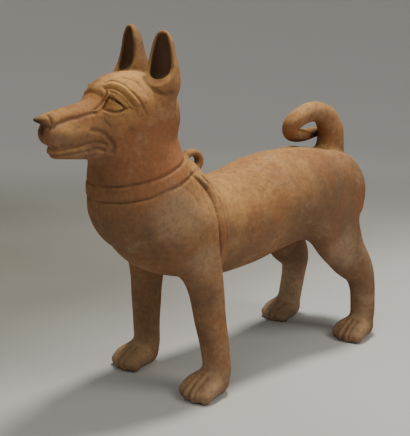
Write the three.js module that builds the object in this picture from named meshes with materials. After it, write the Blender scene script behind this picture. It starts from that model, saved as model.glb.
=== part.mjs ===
// A standing dog of fired clay with a modelled harness, made as one solid, in millimetres.
// The dog looks along -Y, its left side is +X, and its four paws stand on Z = 0.
//
// The form is a distance field: limbs with oval sections are blended together like rolled
// clay, hollows are cut from it, and lines are pressed into it or raised on it. The surface
// of the field is then taken off as triangles and thinned to the wanted number.

import * as THREE from "three";
import { edgeTable, triTable } from "three/addons/objects/MarchingCubes.js";

// Driving dimensions

const FRONT_STANCE = 94;        // centre line to the middle of a front ankle
const HIND_STANCE = 93;         // centre line to the middle of a hind ankle
const FRONT_ANKLE_Y = -57;
const HIND_ANKLE_Y = 366;
const FRONT_STAGGER = -2.5;     // the left front foot stands this far behind the middle
const HIND_STAGGER = 4;         // the left hind foot stands this far behind the middle
const COLLAR_RAISE = 1;
const GIRTH_RAISE = 4.5;
const SEAM_DEPTH = 2.2;         // seam down the middle of the chest
const SEAM_WIDTH = 2.4;
const LEAD_RING_RADIUS = 15.5;
const LEAD_RING_THICKNESS = 7.2;

// Body sections, from front to back: x, y, z, half width, half depth seen from the side

const TORSO = [
  [0, -148, 332, 78, 82], [0, -100, 302, 87, 98], [0, -20, 271, 87, 89], [0, 70, 275, 87, 92],
  [0, 150, 291, 88, 95], [0, 230, 299, 87, 92], [0, 300, 302, 85, 84], [0, 345, 296, 80, 76],
];
const NECK = [[0, -142, 345, 76, 84], [0, -159, 395, 70, 79], [0, -163, 435, 64, 76], [0, -157, 466, 58, 65]];
const SKULL = [
  [0, -142, 476, 56, 54], [0, -165, 484, 57, 57], [0, -195, 487, 54, 55], [0, -219, 481, 47.5, 49],
  [0, -237, 475, 40, 38.5], [0, -257, 472, 31.5, 30], [0, -280, 472, 24.5, 24], [0, -304, 472, 19.5, 19.5],
  [0, -322, 470, 16.5, 15],
];
const BROW = [[24, -222, 507, 7, 8], [33, -215, 512, 8, 9], [43, -205, 508, 8, 9], [51, -193, 500, 8, 8]];
const LIP = [
  [10, -232, 455, 27, 27], [11, -262, 454, 21, 22], [12, -296, 453, 15.5, 20], [11.5, -317, 454, 13.5, 18],
];
const MUZZLE_CORE = [[0, -235, 450, 28, 22], [0, -290, 450, 18, 18], [0, -322, 452, 11, 15]];
const JAW = [[0, -222, 428, 34, 20], [0, -272, 426, 25, 13.5], [0, -314, 429, 15.5, 12.5]];
const NOSE = [[0, -310, 477, 14, 11], [0, -326, 476, 13, 10], [0, -339, 476, 8.5, 7], [0, -348, 476.5, 4, 3.5]];

// Ears: base, tip and turn of the opening to its side in degrees, and along the height the half
// width, the half depth, how far forward the front is cut away and the thickness of the wall

const EAR_LEFT = { base: [43, -142, 500], tip: [41, -138, 607], turn: 21 };
const EAR_RIGHT = { base: [-38, -137, 514], tip: [-36.5, -139.5, 616], turn: 6 };
const EAR_SECTIONS = [
  [-0.2, 18, 17, 60, 8], [0, 23, 23, 50, 8], [0.2, 28.5, 30, 28, 8.5], [0.4, 27, 29, 11, 8],
  [0.6, 22.5, 24.5, 6, 6], [0.8, 17.5, 19, 5, 5.5], [0.86, 15.2, 16.3, 4.5, 6], [0.92, 12.2, 12.5, 4, 7],
  [0.96, 8.8, 9, 3.5, 8], [0.985, 5.4, 5.6, 2.5, 8], [1, 0.4, 0.4, 1, 8],
];

// Tail sections: the stem rises from the rump, the curl comes forward, down and back again

const TAIL_STEM = [
  [0, 352, 350, 30, 40], [0, 358, 385, 27.5, 31], [0, 357, 418, 25.5, 26.5], [-2, 343, 444, 22.5, 22.5],
];
const TAIL_CURL = [
  [0, 357, 418, 25.5, 26.5], [-2, 344, 443, 22.5, 22.5], [-6, 314, 456, 20.5, 20.5],
  [-10, 280, 451, 19, 19], [-15, 254, 434, 17.5, 17.5], [-22, 257, 417, 15.5, 15.5],
  [-28, 280, 409, 14, 14], [-33, 306, 407, 13, 13], [-37, 332, 407, 12, 12], [-40, 350, 408, 11, 11],
  [-41, 367, 410, 10, 10],
];

// Leg sections of the left side, relative to the middle of the ankle where they end

const FRONT_LEG = [
  [-36, -31, 285, 42, 56], [-25, -23, 235, 35, 41], [-16, -14, 185, 29.5, 31.5],
  [-9, -9, 130, 27, 27.5], [-3, -4, 85, 24.5, 25], [0, 0, 45, 24, 24],
];
const HIND_LEG = [
  [-39, -68, 300, 44, 82], [-32, -75, 258, 40, 81], [-25, -66, 220, 34, 64], [-18, -41, 178, 29.5, 48],
  [-13, -6, 138, 27, 36], [-6, 3, 100, 24.5, 28], [0, 0, 48, 24.5, 25],
];
const TOES = [[-21, -47], [-7.3, -54], [7.3, -54], [21, -47]];

// Lines in the side view, as y and z

const COLLAR_UPPER = [[-262, 367], [-232, 369], [-200, 376], [-171, 384], [-127, 397], [-80, 411], [-52, 418]];
const COLLAR_LOWER = [[-262, 342], [-232, 344], [-196, 352], [-168, 362], [-123, 373], [-84, 384]];
const GIRTH_FRONT = [
  [-60, 402], [-103, 384], [-80, 360], [-68, 338], [-65, 309], [-62, 272], [-58, 240], [-58, 150],
];
const GIRTH_BACK = [
  [-48, 396], [-71, 377], [-45, 352], [-39, 324], [-38, 291], [-36, 257], [-36, 230], [-36, 150],
];
const SHOULDER_CREASE = [[-138, 368], [-115, 352], [-102, 332]];
const EYE_CORNERS = [[-250, 488], [-237, 509], [-214, 489], [-232, 482.5]];
const EYE_MIDDLE = [-233, 491];

// Lines worked into the soft clay of the head's left side, as points near the surface: each group
// has its depth, where minus stands for a raised line, and the half width of its soft edge

const WORKED_LINES = [
  { depth: 2.8, width: 1.8, lines: [
    [[20, -238, 520], [30, -232, 521], [41, -225, 515], [49, -216, 505], [53, -208, 494]],
    [[21, -237, 520], [26, -240, 514], [26, -244, 504], [26, -252, 495], [25, -260, 489]],
  ] },
  { depth: 2.4, width: 1.9, lines: [
    [[14, -233, 526], [19, -223, 531], [28, -218, 530], [39, -213, 525], [48, -211, 518],
      [55, -204, 508], [59, -198, 497], [58, -192, 488], [59, -186, 478]],
  ] },
  { depth: 1.4, width: 1.8, lines: [
    [[22, -208, 535], [28, -199, 534], [37, -190, 529], [44, -187, 523], [49, -183, 517],
      [56, -181, 507]],
    [[50, -214, 491], [54, -205, 487], [54, -203, 483]],
    [[34, -250, 477], [35, -249, 472], [36, -244, 467], [37, -241, 463]],
  ] },
  { depth: -1.6, width: 1.5, lines: [
    [[31, -239, 501], [33, -235, 511], [41, -228, 503], [48, -216, 491]],
    [[31, -233, 517], [41, -226, 512], [47, -219, 504], [51, -211, 493]],
    [[30, -237, 512], [29, -242, 503], [29, -248, 495], [28, -255, 488], [26, -261, 486]],
    [[33, -249, 485], [38, -242, 481], [42, -233, 480], [46, -224, 483], [49, -216, 489]],
  ] },
  { depth: -2.3, width: 3.5, lines: [
    [[16, -234, 524], [25, -228, 526], [38, -221, 523], [48, -215, 515], [54, -209, 505],
      [57, -202, 496]],
    [[53, -205, 475], [52, -207, 469], [51, -210, 462]],
  ] },
  { depth: 2, width: 3, lines: [
    [[17, -331, 465], [19, -324, 470], [19, -313, 473], [20, -299, 477], [22, -289, 478],
      [23, -278, 481], [27, -262, 485]],
    [[0, -338, 467], [7, -336, 466], [14, -333, 466]],
  ] },
  { depth: 2, width: 2, lines: [
    [[13, -334, 463], [9, -336, 454], [6, -335, 446], [5, -328, 438], [12, -322, 434]],
    [[0, -326, 433], [12, -322, 431], [16, -313, 431], [18, -303, 432], [20, -292, 434],
      [23, -279, 438], [27, -265, 440], [29, -252, 439], [31, -244, 436]],
    [[0, -324, 423], [5, -324, 423], [14, -313, 423], [20, -293, 424], [25, -272, 428]],
    [[8, -333, 484], [12, -331, 478], [14, -331, 471]],
  ] },
  { depth: 3.8, width: 2.6, lines: [
    [[25, -272, 428], [26, -261, 430], [28, -254, 429], [31, -248, 427]],
  ] },
  { depth: -1, width: 2.4, lines: [
    [[3, -326, 429], [14, -320, 427], [17, -308, 427], [20, -292, 430], [22, -277, 433],
      [24, -262, 435], [29, -248, 433]],
  ] },
  { depth: 3.2, width: 3.2, lines: [
    [[31, -269, 459], [33, -259, 457], [34, -250, 453], [35, -242, 446], [36, -236, 438],
      [37, -234, 429], [36, -236, 424]],
    [[28, -168, 532], [38, -172, 526], [50, -171, 520], [60, -166, 513], [67, -157, 508],
      [71, -145, 511]],
  ] },
];

// The surface is taken on a fine grid over the head and feet and a coarser one elsewhere

const GRID_STEP = 3.6;
const GRID_STEP_FINE = 2;
const FACE_COUNT = 9500;
const HEAD_DETAIL = 5;          // the head keeps this many times more detail than the body
const SOLE_BAND = 0.6;          // what ends up within this height of the floor is made flat
const FINER = 12;               // rows between two joints of a limb, for its place and sizes
const CLAY = new THREE.MeshStandardMaterial({ color: 0xa9714a, roughness: 0.88, metalness: 0 });

// Field helpers

const FAR = 1e6;
const clamp = THREE.MathUtils.clamp;

function join(a, b, blend) {
  const h = Math.max(blend - Math.abs(a - b), 0) / blend;
  return Math.min(a, b) - h * h * blend * 0.25;
}

function cut(a, b, blend) {
  return -join(-a, b, blend);
}

function length(x, y, z) {
  return Math.sqrt(x * x + y * y + z * z);
}

// Approximate distance to an ellipsoid, from offsets and radii
function ovalDistance(x, y, z, a, b, c) {
  const k0 = length(x / a, y / b, z / c);
  const k1 = length(x / (a * a), y / (b * b), z / (c * c));
  return k0 * (k0 - 1) / Math.max(k1, 1e-6);
}

// A part of the field is exact near its own box, and farther off gives the distance to the box
function boxed(low, high, margin, distance) {
  return (x, y, z) => {
    const gx = Math.max(low[0] - x, 0, x - high[0]);
    const gy = Math.max(low[1] - y, 0, y - high[1]);
    const gz = Math.max(low[2] - z, 0, z - high[2]);
    const gap = length(gx, gy, gz);
    return gap > margin ? gap : distance(x, y, z);
  };
}

// Points on a smooth line through the rows, with the end spans mirrored
function through(rows, steps) {
  const mirrored = (a, b) => a.map((value, n) => 2 * value - b[n]);
  const last = rows.length - 1;
  const padded = [mirrored(rows[0], rows[1]), ...rows, mirrored(rows[last], rows[last - 1])];
  const points = [];
  for (let i = 0; i < last; i++) {
    const [a, b, c, d] = padded.slice(i, i + 4);
    for (let n = 0; n < steps; n++) {
      const t = n / steps;
      points.push(b.map((value, k) => 0.5 * (2 * value + (c[k] - a[k]) * t
        + (2 * a[k] - 5 * value + 4 * c[k] - d[k]) * t * t
        + (3 * value - a[k] - 3 * c[k] + d[k]) * t * t * t)));
    }
  }
  return [...points, rows[last]];
}

// A limb follows a smooth line through its sections, with an oval section that changes along it.
// The place along it is where a plane across the line, turning from joint to joint, meets the point
function limb(sections, margin, steps = 4) {
  const fine = through(sections, steps * FINER);
  const last = (sections.length - 1) * steps;
  const joints = [];
  const low = [FAR, FAR, FAR];
  const high = [-FAR, -FAR, -FAR];
  for (let n = 0; n <= last; n++) {
    const row = fine[n * FINER];
    const before = fine[Math.max(n * FINER - 1, 0)];
    const after = fine[Math.min(n * FINER + 1, fine.length - 1)];
    const run = [0, 1, 2].map((k) => after[k] - before[k]);
    const size = length(run[0], run[1], run[2]);
    const reach = Math.max(row[3], row[4]);
    joints.push({ x: row[0], y: row[1], z: row[2], ax: run[0] / size, ay: run[1] / size, az: run[2] / size });
    for (let k = 0; k < 3; k++) {
      low[k] = Math.min(low[k], row[k] - reach);
      high[k] = Math.max(high[k], row[k] + reach);
    }
  }
  const ahead = (joint, x, y, z) => (
    (x - joint.x) * joint.ax + (y - joint.y) * joint.ay + (z - joint.z) * joint.az);
  const squared = (joint, x, y, z) => (x - joint.x) ** 2 + (y - joint.y) ** 2 + (z - joint.z) ** 2;
  return boxed(low, high, margin, (x, y, z) => {
    let here = ahead(joints[0], x, y, z);
    let place = here < 0 ? 0 : last;
    const loose = here >= 0 && ahead(joints[last], x, y, z) < 0;
    let nearest = loose ? FAR : squared(joints[place], x, y, z);
    for (let n = 0; n < last; n++) {
      const next = ahead(joints[n + 1], x, y, z);
      if (here >= 0 && next < 0) {
        const t = here / (here - next);
        const a = joints[n];
        const b = joints[n + 1];
        const spot = { x: a.x + t * (b.x - a.x), y: a.y + t * (b.y - a.y), z: a.z + t * (b.z - a.z) };
        const away = squared(spot, x, y, z);
        if (away < nearest) {
          nearest = away;
          place = n + t;
        }
      }
      here = next;
    }
    const first = Math.min(Math.floor(place * FINER), fine.length - 2);
    const part = place * FINER - first;
    const a = fine[first];
    const b = fine[first + 1];
    const at = (k) => a[k] + (b[k] - a[k]) * part;
    return ovalDistance(x - at(0), length(0, y - at(1), z - at(2)), 0, at(3), at(4), 1);
  });
}

// Distance from a line in space, given as points on it, within a reach round it
function spaceLine(points, reach) {
  const path = through(points, 4);
  const box = new THREE.Box3();
  for (const [x, y, z] of path) box.expandByPoint(new THREE.Vector3(x, y, z));
  box.expandByScalar(reach);
  const { min, max } = box;
  return (x, y, z) => {
    if (x < min.x || x > max.x || y < min.y || y > max.y || z < min.z || z > max.z) return FAR;
    let best = FAR;
    for (let i = 0; i + 1 < path.length; i++) {
      const [ax, ay, az] = path[i];
      const rx = path[i + 1][0] - ax;
      const ry = path[i + 1][1] - ay;
      const rz = path[i + 1][2] - az;
      const along = (x - ax) * rx + (y - ay) * ry + (z - az) * rz;
      const t = clamp(along / (rx * rx + ry * ry + rz * rz), 0, 1);
      best = Math.min(best, length(x - ax - rx * t, y - ay - ry * t, z - az - rz * t));
    }
    return best;
  };
}

// A line drawn on the side of the figure, as the distance from it in the side view
function sideLine(points, steps = 4) {
  const curve = new THREE.SplineCurve(points.map((p) => new THREE.Vector2(p[0], p[1])));
  const path = curve.getPoints((points.length - 1) * steps);
  const box = new THREE.Box2().setFromPoints(path).expandByScalar(14);
  return (y, z) => {
    if (y < box.min.x || y > box.max.x || z < box.min.y || z > box.max.y) return FAR;
    let best = FAR;
    for (let i = 0; i + 1 < path.length; i++) {
      const a = path[i];
      const dx = path[i + 1].x - a.x;
      const dy = path[i + 1].y - a.y;
      const t = clamp(((y - a.x) * dx + (z - a.y) * dy) / (dx * dx + dy * dy), 0, 1);
      best = Math.min(best, length(y - a.x - dx * t, z - a.y - dy * t, 0));
    }
    return best;
  };
}

// A pressed line or a raised ridge: full height on the line, fading over its width
function bump(distance, width) {
  const t = distance / width;
  return t < 3 ? Math.exp(-t * t) : 0;
}

// Height of a side line over a given y, for the bands between two lines
function lineHeight(points) {
  return (y) => {
    const last = points.length - 1;
    if (y <= points[0][0]) return points[0][1];
    if (y >= points[last][0]) return points[last][1];
    const i = points.findIndex((p) => p[0] > y);
    const [y0, z0] = points[i - 1];
    const [y1, z1] = points[i];
    return z0 + (z1 - z0) * (y - y0) / (y1 - y0);
  };
}

function step(value, width) {
  return 1 / (1 + Math.exp(-value / width));
}

// Legs and paws

function paw(x, y) {
  const sole = limb([
    [x, y - 1, 21, 25.5, 24], [x, y - 20, 21, 31, 24], [x, y - 36, 17, 32, 20],
  ], 20, 3);
  const toes = TOES.map(([dx, dy]) => limb([
    [x + dx * 0.8, y - 20, 25, 13, 13], [x + dx, y + dy + 12, 20, 13.5, 13.5],
    [x + dx * 1.08, y + dy, 11.5, 12.5, 12.5],
  ], 20, 3));
  return (px, py, pz) => {
    let d = sole(px, py, pz);
    for (const toe of toes) d = join(d, toe(px, py, pz), 4);
    return d;
  };
}

function leg(sections, side, stance, ankleY) {
  const placed = sections.map(([x, y, z, w, d]) => [side * (stance + x), ankleY + y, z, w, d]);
  return limb(placed, 30);
}

function legs() {
  const parts = [];
  for (const side of [1, -1]) {
    const frontY = FRONT_ANKLE_Y + side * FRONT_STAGGER;
    const hindY = HIND_ANKLE_Y + side * HIND_STAGGER;
    parts.push({ form: leg(FRONT_LEG, side, FRONT_STANCE, frontY), blend: 26 });
    parts.push({ form: leg(HIND_LEG, side, HIND_STANCE, hindY), blend: 24 });
    parts.push({ form: paw(side * FRONT_STANCE - 4, frontY), blend: 12 });
    parts.push({ form: paw(side * HIND_STANCE, hindY - 2), blend: 12 });
  }
  return parts;
}

// Ears: upright leaves with their front cut away and an open hollow that faces forward

function ear(side, place) {
  const base = new THREE.Vector3(...place.base);
  const tip = new THREE.Vector3(...place.tip);
  const up = tip.clone().sub(base);
  const height = up.length();
  up.normalize();
  const turn = THREE.MathUtils.degToRad(place.turn);
  const facing = new THREE.Vector3(Math.sin(turn) * side, -Math.cos(turn), 0.12);
  facing.addScaledVector(up, -facing.dot(up)).normalize();
  const across = new THREE.Vector3().crossVectors(up, facing);
  const table = through(EAR_SECTIONS, 20);
  const rowAt = (t) => {
    const i = clamp(table.findIndex((row) => row[0] > t), 1, table.length - 1);
    const a = table[i - 1];
    const b = table[i];
    const part = clamp((t - a[0]) / (b[0] - a[0]), 0, 1);
    return a.map((value, n) => value + (b[n] - value) * part);
  };
  const shape = (x, y, z, from, to, walled) => {
    const qx = x - base.x;
    const qy = y - base.y;
    const qz = z - base.z;
    const along = (qx * up.x + qy * up.y + qz * up.z) / height;
    const t = clamp(along, from, to);
    const row = rowAt(Math.min(t, 0.9999));
    const wall = walled * row[4];
    const width = Math.max(row[1] - wall, 0.4);
    const depth = Math.max(row[2] - wall, 0.4);
    const a = qx * across.x + qy * across.y + qz * across.z;
    const b = qx * facing.x + qy * facing.y + qz * facing.z;
    const rest = (along - t) * height;
    return { d: ovalDistance(a, b, rest, width, depth, Math.min(width, depth)), front: b - row[3] };
  };
  const low = [Math.min(base.x, tip.x) - 36, -180, 454];
  const high = [Math.max(base.x, tip.x) + 36, -100, tip.z + 9];
  const leaf = (x, y, z) => {
    const { d, front } = shape(x, y, z, -0.2, 1, 0);
    return cut(d, -front, 3);
  };
  return {
    leaf: boxed(low, high, 15, leaf),
    hollow: boxed(low, high, 15, (x, y, z) => shape(x, y, z, 0.4, 0.86, 1).d),
  };
}

// The lead ring at the withers, a thick loop with its hole across the back
function leadRing(x, y, z) {
  const dy = (y + 35) / 1.15;
  const dz = z - 388;
  return length(length(dy, dz, 0) - LEAD_RING_RADIUS, x * 0.8, 0) - LEAD_RING_THICKNESS;
}

// Signed distance from the outline of the eye opening in the side view, negative inside
function eyeOpening(y, z) {
  let inside = -FAR;
  const count = EYE_CORNERS.length;
  for (let i = 0; i < count; i++) {
    const [y0, z0] = EYE_CORNERS[i];
    const [y1, z1] = EYE_CORNERS[(i + 1) % count];
    const away = ((z - z0) * (y1 - y0) - (y - y0) * (z1 - z0)) / length(y1 - y0, z1 - z0, 0);
    inside = -join(-inside, -away, 4);
  }
  return inside;
}

// The whole field

function makeField() {
  const torso = limb(TORSO, 50);
  const neck = limb(NECK, 50);
  const skull = limb(SKULL, 30);
  const headParts = [
    { form: limb(BROW, 30), blend: 14 }, { form: limb(MUZZLE_CORE, 30), blend: 10 },
    { form: limb(LIP, 30), blend: 8 }, { form: limb(JAW, 30), blend: 6 }, { form: limb(NOSE, 30), blend: 4 },
  ];
  const limbs = legs();
  const stem = limb(TAIL_STEM, 20);
  const curl = limb(TAIL_CURL, 10);
  const ears = [ear(1, EAR_LEFT), ear(-1, EAR_RIGHT)];
  const collarUpper = sideLine(COLLAR_UPPER);
  const collarLower = sideLine(COLLAR_LOWER);
  const collarTop = lineHeight(COLLAR_UPPER);
  const collarBottom = lineHeight(COLLAR_LOWER);
  const girthFront = sideLine(GIRTH_FRONT);
  const girthBack = sideLine(GIRTH_BACK);
  const girthMiddle = sideLine(GIRTH_FRONT.map((p, i) => [
    (p[0] + GIRTH_BACK[i][0]) / 2, (p[1] + GIRTH_BACK[i][1]) / 2]));
  const crease = sideLine(SHOULDER_CREASE);
  const worked = WORKED_LINES.flatMap(({ depth, width, lines }) => (
    lines.map((points) => ({ distance: spaceLine(points, 3 * width), depth, width }))));

  const headForm = (x, y, z) => {
    let d = skull(x, y, z);
    for (const { form, blend } of headParts) d = join(d, form(x, y, z), blend);
    return d;
  };

  const facePressing = (x, y, z) => {
    let change = 0;
    for (const { distance, depth, width } of worked) change += depth * bump(distance(x, y, z), width);
    if (y < -210 && z > 470 && z < 525) {
      const outside = eyeOpening(y, z);
      const middle = ((y - EYE_MIDDLE[0]) / 13) ** 2 + ((z - EYE_MIDDLE[1]) / 11) ** 2;
      let eye = 5.5 * step(-outside, 0.45) - 4.2 * step(-outside - 2.8, 0.6);
      eye -= 2.5 * Math.max(1 - middle, 0);
      change += eye * step(x - 8, 2.5);
    }
    return change;
  };

  const harnessPressing = (x, y, z, onBody) => {
    let change = 0;
    const onCollar = step(collarTop(y) - z, 1.2) * step(z - collarBottom(y), 1.2);
    change -= COLLAR_RAISE * onCollar * step(-54 - y, 4);
    change += 2.2 * bump(collarUpper(y, z), 2.2);
    change += 2 * bump(collarLower(y, z), 2.2);
    change -= GIRTH_RAISE * bump(girthMiddle(y, z), 7) * onBody;
    change += (1.6 + 1.2 * step(365 - z, 8)) * bump(girthFront(y, z), 2.4) * onBody;
    change += 2 * bump(girthBack(y, z), 2.6) * onBody;
    change += 0.7 * bump(crease(y, z), 2.6);
    if (y < -90 && z < collarBottom(y)) change += SEAM_DEPTH * bump(x, SEAM_WIDTH);
    return change;
  };

  return (x, y, z) => {
    const side = Math.abs(x);
    const body = join(torso(side, y, z), neck(side, y, z), 45);
    let d = body;
    if (z > 370) {
      d = join(d, headForm(side, y, z), 24);
    }
    for (const { form, blend } of limbs) d = join(d, form(x, y, z), blend);
    if (Math.abs(d) < 12) {
      if (y < -135 && z > 418) d += facePressing(side, y, z);
      if (y < -20 && z < 425 && z > 150) {
        const onBody = Math.max(step(z - 236, 5), step(d - body + 2, 1)) * step(385 - z, 3);
        d += harnessPressing(side, y, z, onBody);
      }
    }
    d = join(d, stem(x, y, z), 14);
    d = join(d, curl(x, y, z), 3);
    d = join(d, leadRing(x, y, z), 6);
    for (const { leaf } of ears) d = join(d, leaf(x, y, z), 8);
    for (const { hollow } of ears) d = cut(d, hollow(x, y, z), 2.5);
    return cut(d, z, 1.6);
  };
}

// Grid lines along one axis, fine between two values and coarse outside them
function gridLines(from, to, fineFrom, fineTo) {
  const lines = [];
  for (let v = from; v < to; v += v > fineFrom && v < fineTo ? GRID_STEP_FINE : GRID_STEP) {
    lines.push(v + 0.013);
  }
  return lines;
}

// Samples the field on the grid, skipping blocks that lie well away from the surface
function sampleGrid(field, xs, ys, zs) {
  const block = 8;
  const values = new Float32Array(xs.length * ys.length * zs.length).fill(1);
  const at = (i, j, k) => (k * ys.length + j) * xs.length + i;
  const middle = (lines, from, to) => (lines[from] + lines[to]) / 2;
  for (let k = 0; k < zs.length; k += block) {
    const k1 = Math.min(k + block, zs.length) - 1;
    for (let j = 0; j < ys.length; j += block) {
      const j1 = Math.min(j + block, ys.length) - 1;
      for (let i = 0; i < xs.length; i += block) {
        const i1 = Math.min(i + block, xs.length) - 1;
        const centre = field(middle(xs, i, i1), middle(ys, j, j1), middle(zs, k, k1));
        const reach = length(xs[i1] - xs[i], ys[j1] - ys[j], zs[k1] - zs[k]) / 2;
        const skip = Math.abs(centre) > reach * 1.5 + 14;
        for (let c = k; c <= k1; c++) {
          for (let b = j; b <= j1; b++) {
            for (let a = i; a <= i1; a++) {
              values[at(a, b, c)] = skip ? centre : field(xs[a], ys[b], zs[c]);
            }
          }
        }
      }
    }
  }
  return values;
}

// Takes the surface where the field is zero off the grid, as shared points and triangles
function marchGrid(values, xs, ys, zs) {
  const nx = xs.length;
  const ny = ys.length;
  const corners = [[0, 0, 0], [1, 0, 0], [1, 1, 0], [0, 1, 0], [0, 0, 1], [1, 0, 1], [1, 1, 1], [0, 1, 1]];
  const edges = [
    [0, 1], [1, 2], [2, 3], [3, 0], [4, 5], [5, 6], [6, 7], [7, 4], [0, 4], [1, 5], [2, 6], [3, 7],
  ];
  const offsets = corners.map(([a, b, c]) => (c * ny + b) * nx + a);
  const points = [];
  const triangles = [];
  const known = new Map();
  const pointOn = (node, edge, i, j, k) => {
    const [p, q] = edges[edge];
    const first = node + Math.min(offsets[p], offsets[q]);
    const axis = corners[p].findIndex((v, n) => v !== corners[q][n]);
    const key = first * 3 + axis;
    if (known.has(key)) return known.get(key);
    const vp = values[node + offsets[p]];
    const vq = values[node + offsets[q]];
    const t = vp / (vp - vq);
    const place = (lines, base, n) => {
      const a = lines[base + corners[p][n]];
      return a + (lines[base + corners[q][n]] - a) * t;
    };
    known.set(key, points.length / 3);
    points.push(place(xs, i, 0), place(ys, j, 1), place(zs, k, 2));
    return known.get(key);
  };
  for (let k = 0; k + 1 < zs.length; k++) {
    for (let j = 0; j + 1 < ny; j++) {
      for (let i = 0; i + 1 < nx; i++) {
        const node = (k * ny + j) * nx + i;
        let code = 0;
        for (let c = 0; c < 8; c++) if (values[node + offsets[c]] < 0) code |= 1 << c;
        if (edgeTable[code] === 0) continue;
        for (let n = code * 16; triTable[n] !== -1; n += 3) {
          const a = pointOn(node, triTable[n], i, j, k);
          const b = pointOn(node, triTable[n + 1], i, j, k);
          const c = pointOn(node, triTable[n + 2], i, j, k);
          triangles.push(a, c, b);
        }
      }
    }
  }
  return { points: Float64Array.from(points), triangles: Int32Array.from(triangles) };
}

// A smallest-first queue of possible joins
class JoinQueue {
  constructor() {
    this.items = [];
  }

  push(item) {
    const list = this.items;
    let i = list.push(item) - 1;
    while (i > 0) {
      const parent = (i - 1) >> 1;
      if (list[parent].cost <= item.cost) break;
      list[i] = list[parent];
      i = parent;
    }
    list[i] = item;
  }

  pop() {
    const list = this.items;
    const top = list[0];
    const last = list.pop();
    if (list.length === 0) return top;
    let i = 0;
    for (;;) {
      let child = 2 * i + 1;
      if (child >= list.length) break;
      if (child + 1 < list.length && list[child + 1].cost < list[child].cost) child++;
      if (list[child].cost >= last.cost) break;
      list[i] = list[child];
      i = child;
    }
    list[i] = last;
    return top;
  }
}

// Thins a closed surface to a number of triangles by joining neighbouring points, where
// each join costs the squared distances from the planes of the triangles it replaces
function thin(points, triangles, wanted, weightAt) {
  const count = points.length / 3;
  const planes = new Float64Array(count * 10);
  const around = Array.from({ length: count }, () => []);
  const age = new Int32Array(count);
  const gone = new Uint8Array(triangles.length / 3);
  let left = triangles.length / 3;

  const spot = [new Float64Array(3), new Float64Array(3), new Float64Array(3)];
  const normalOf = (f, moved, to, out) => {
    for (let n = 0; n < 3; n++) {
      const v = triangles[f * 3 + n];
      for (let k = 0; k < 3; k++) spot[n][k] = v === moved ? to[k] : points[v * 3 + k];
    }
    return cross(spot[0], spot[1], spot[2], out);
  };
  const before = new Float64Array(3);
  const after = new Float64Array(3);

  const addPlane = (f) => {
    normalOf(f, -1, null, before);
    const area = length(before[0], before[1], before[2]) || 1;
    const v = triangles[f * 3];
    const a = before[0] / area;
    const b = before[1] / area;
    const c = before[2] / area;
    const d = -(a * points[v * 3] + b * points[v * 3 + 1] + c * points[v * 3 + 2]);
    const weight = area * weightAt(points[v * 3], points[v * 3 + 1], points[v * 3 + 2]);
    const terms = [a * a, a * b, a * c, a * d, b * b, b * c, b * d, c * c, c * d, d * d];
    for (let n = 0; n < 3; n++) {
      const start = triangles[f * 3 + n] * 10;
      for (let m = 0; m < 10; m++) planes[start + m] += terms[m] * weight;
      around[triangles[f * 3 + n]].push(f);
    }
  };
  for (let f = 0; f < left; f++) addPlane(f);

  const neighbours = (v) => {
    const found = new Set();
    for (const f of around[v]) {
      for (let n = 0; n < 3; n++) found.add(triangles[f * 3 + n]);
    }
    found.delete(v);
    return found;
  };

  const queue = new JoinQueue();
  const consider = (u, v) => {
    const q = new Float64Array(10);
    for (let m = 0; m < 10; m++) q[m] = planes[u * 10 + m] + planes[v * 10 + m];
    const { place, error } = bestPlace(q, points, u, v);
    queue.push({ cost: error, u, v, place, ageU: age[u], ageV: age[v] });
  };
  for (let u = 0; u < count; u++) {
    for (const v of neighbours(u)) if (u < v) consider(u, v);
  }

  const flips = (v, other, place) => {
    for (const f of around[v]) {
      const start = f * 3;
      if (triangles[start] === other || triangles[start + 1] === other || triangles[start + 2] === other) {
        continue;
      }
      normalOf(f, -1, null, before);
      normalOf(f, v, place, after);
      const dot = before[0] * after[0] + before[1] * after[1] + before[2] * after[2];
      const sizeAfter = length(after[0], after[1], after[2]);
      if (dot < 0.25 * length(before[0], before[1], before[2]) * sizeAfter || sizeAfter < 0.02) return true;
    }
    return false;
  };

  while (left > wanted && queue.items.length > 0) {
    const { u, v, place, ageU, ageV } = queue.pop();
    if (age[u] !== ageU || age[v] !== ageV) continue;
    const nearU = neighbours(u);
    const nearV = neighbours(v);
    let shared = 0;
    for (const w of nearU) if (nearV.has(w)) shared++;
    if (shared !== 2 || flips(u, v, place) || flips(v, u, place)) continue;
    points.set(place, u * 3);
    for (let m = 0; m < 10; m++) planes[u * 10 + m] += planes[v * 10 + m];
    for (const f of around[v]) {
      const corners = [0, 1, 2].map((n) => triangles[f * 3 + n]);
      if (corners.includes(u)) {
        gone[f] = 1;
        left--;
        for (const w of corners) if (w !== v) around[w] = around[w].filter((g) => g !== f);
      } else {
        triangles[f * 3 + corners.indexOf(v)] = u;
        around[u].push(f);
      }
    }
    around[v] = [];
    age[v] = -1;
    age[u]++;
    for (const w of neighbours(u)) consider(u, w);
  }
  const kept = [];
  for (let f = 0; f < gone.length; f++) {
    if (!gone[f]) kept.push(triangles[f * 3], triangles[f * 3 + 1], triangles[f * 3 + 2]);
  }
  return kept;
}

function cross(a, b, c, out) {
  const ux = b[0] - a[0];
  const uy = b[1] - a[1];
  const uz = b[2] - a[2];
  const vx = c[0] - a[0];
  const vy = c[1] - a[1];
  const vz = c[2] - a[2];
  out[0] = uy * vz - uz * vy;
  out[1] = uz * vx - ux * vz;
  out[2] = ux * vy - uy * vx;
  return out;
}

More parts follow.
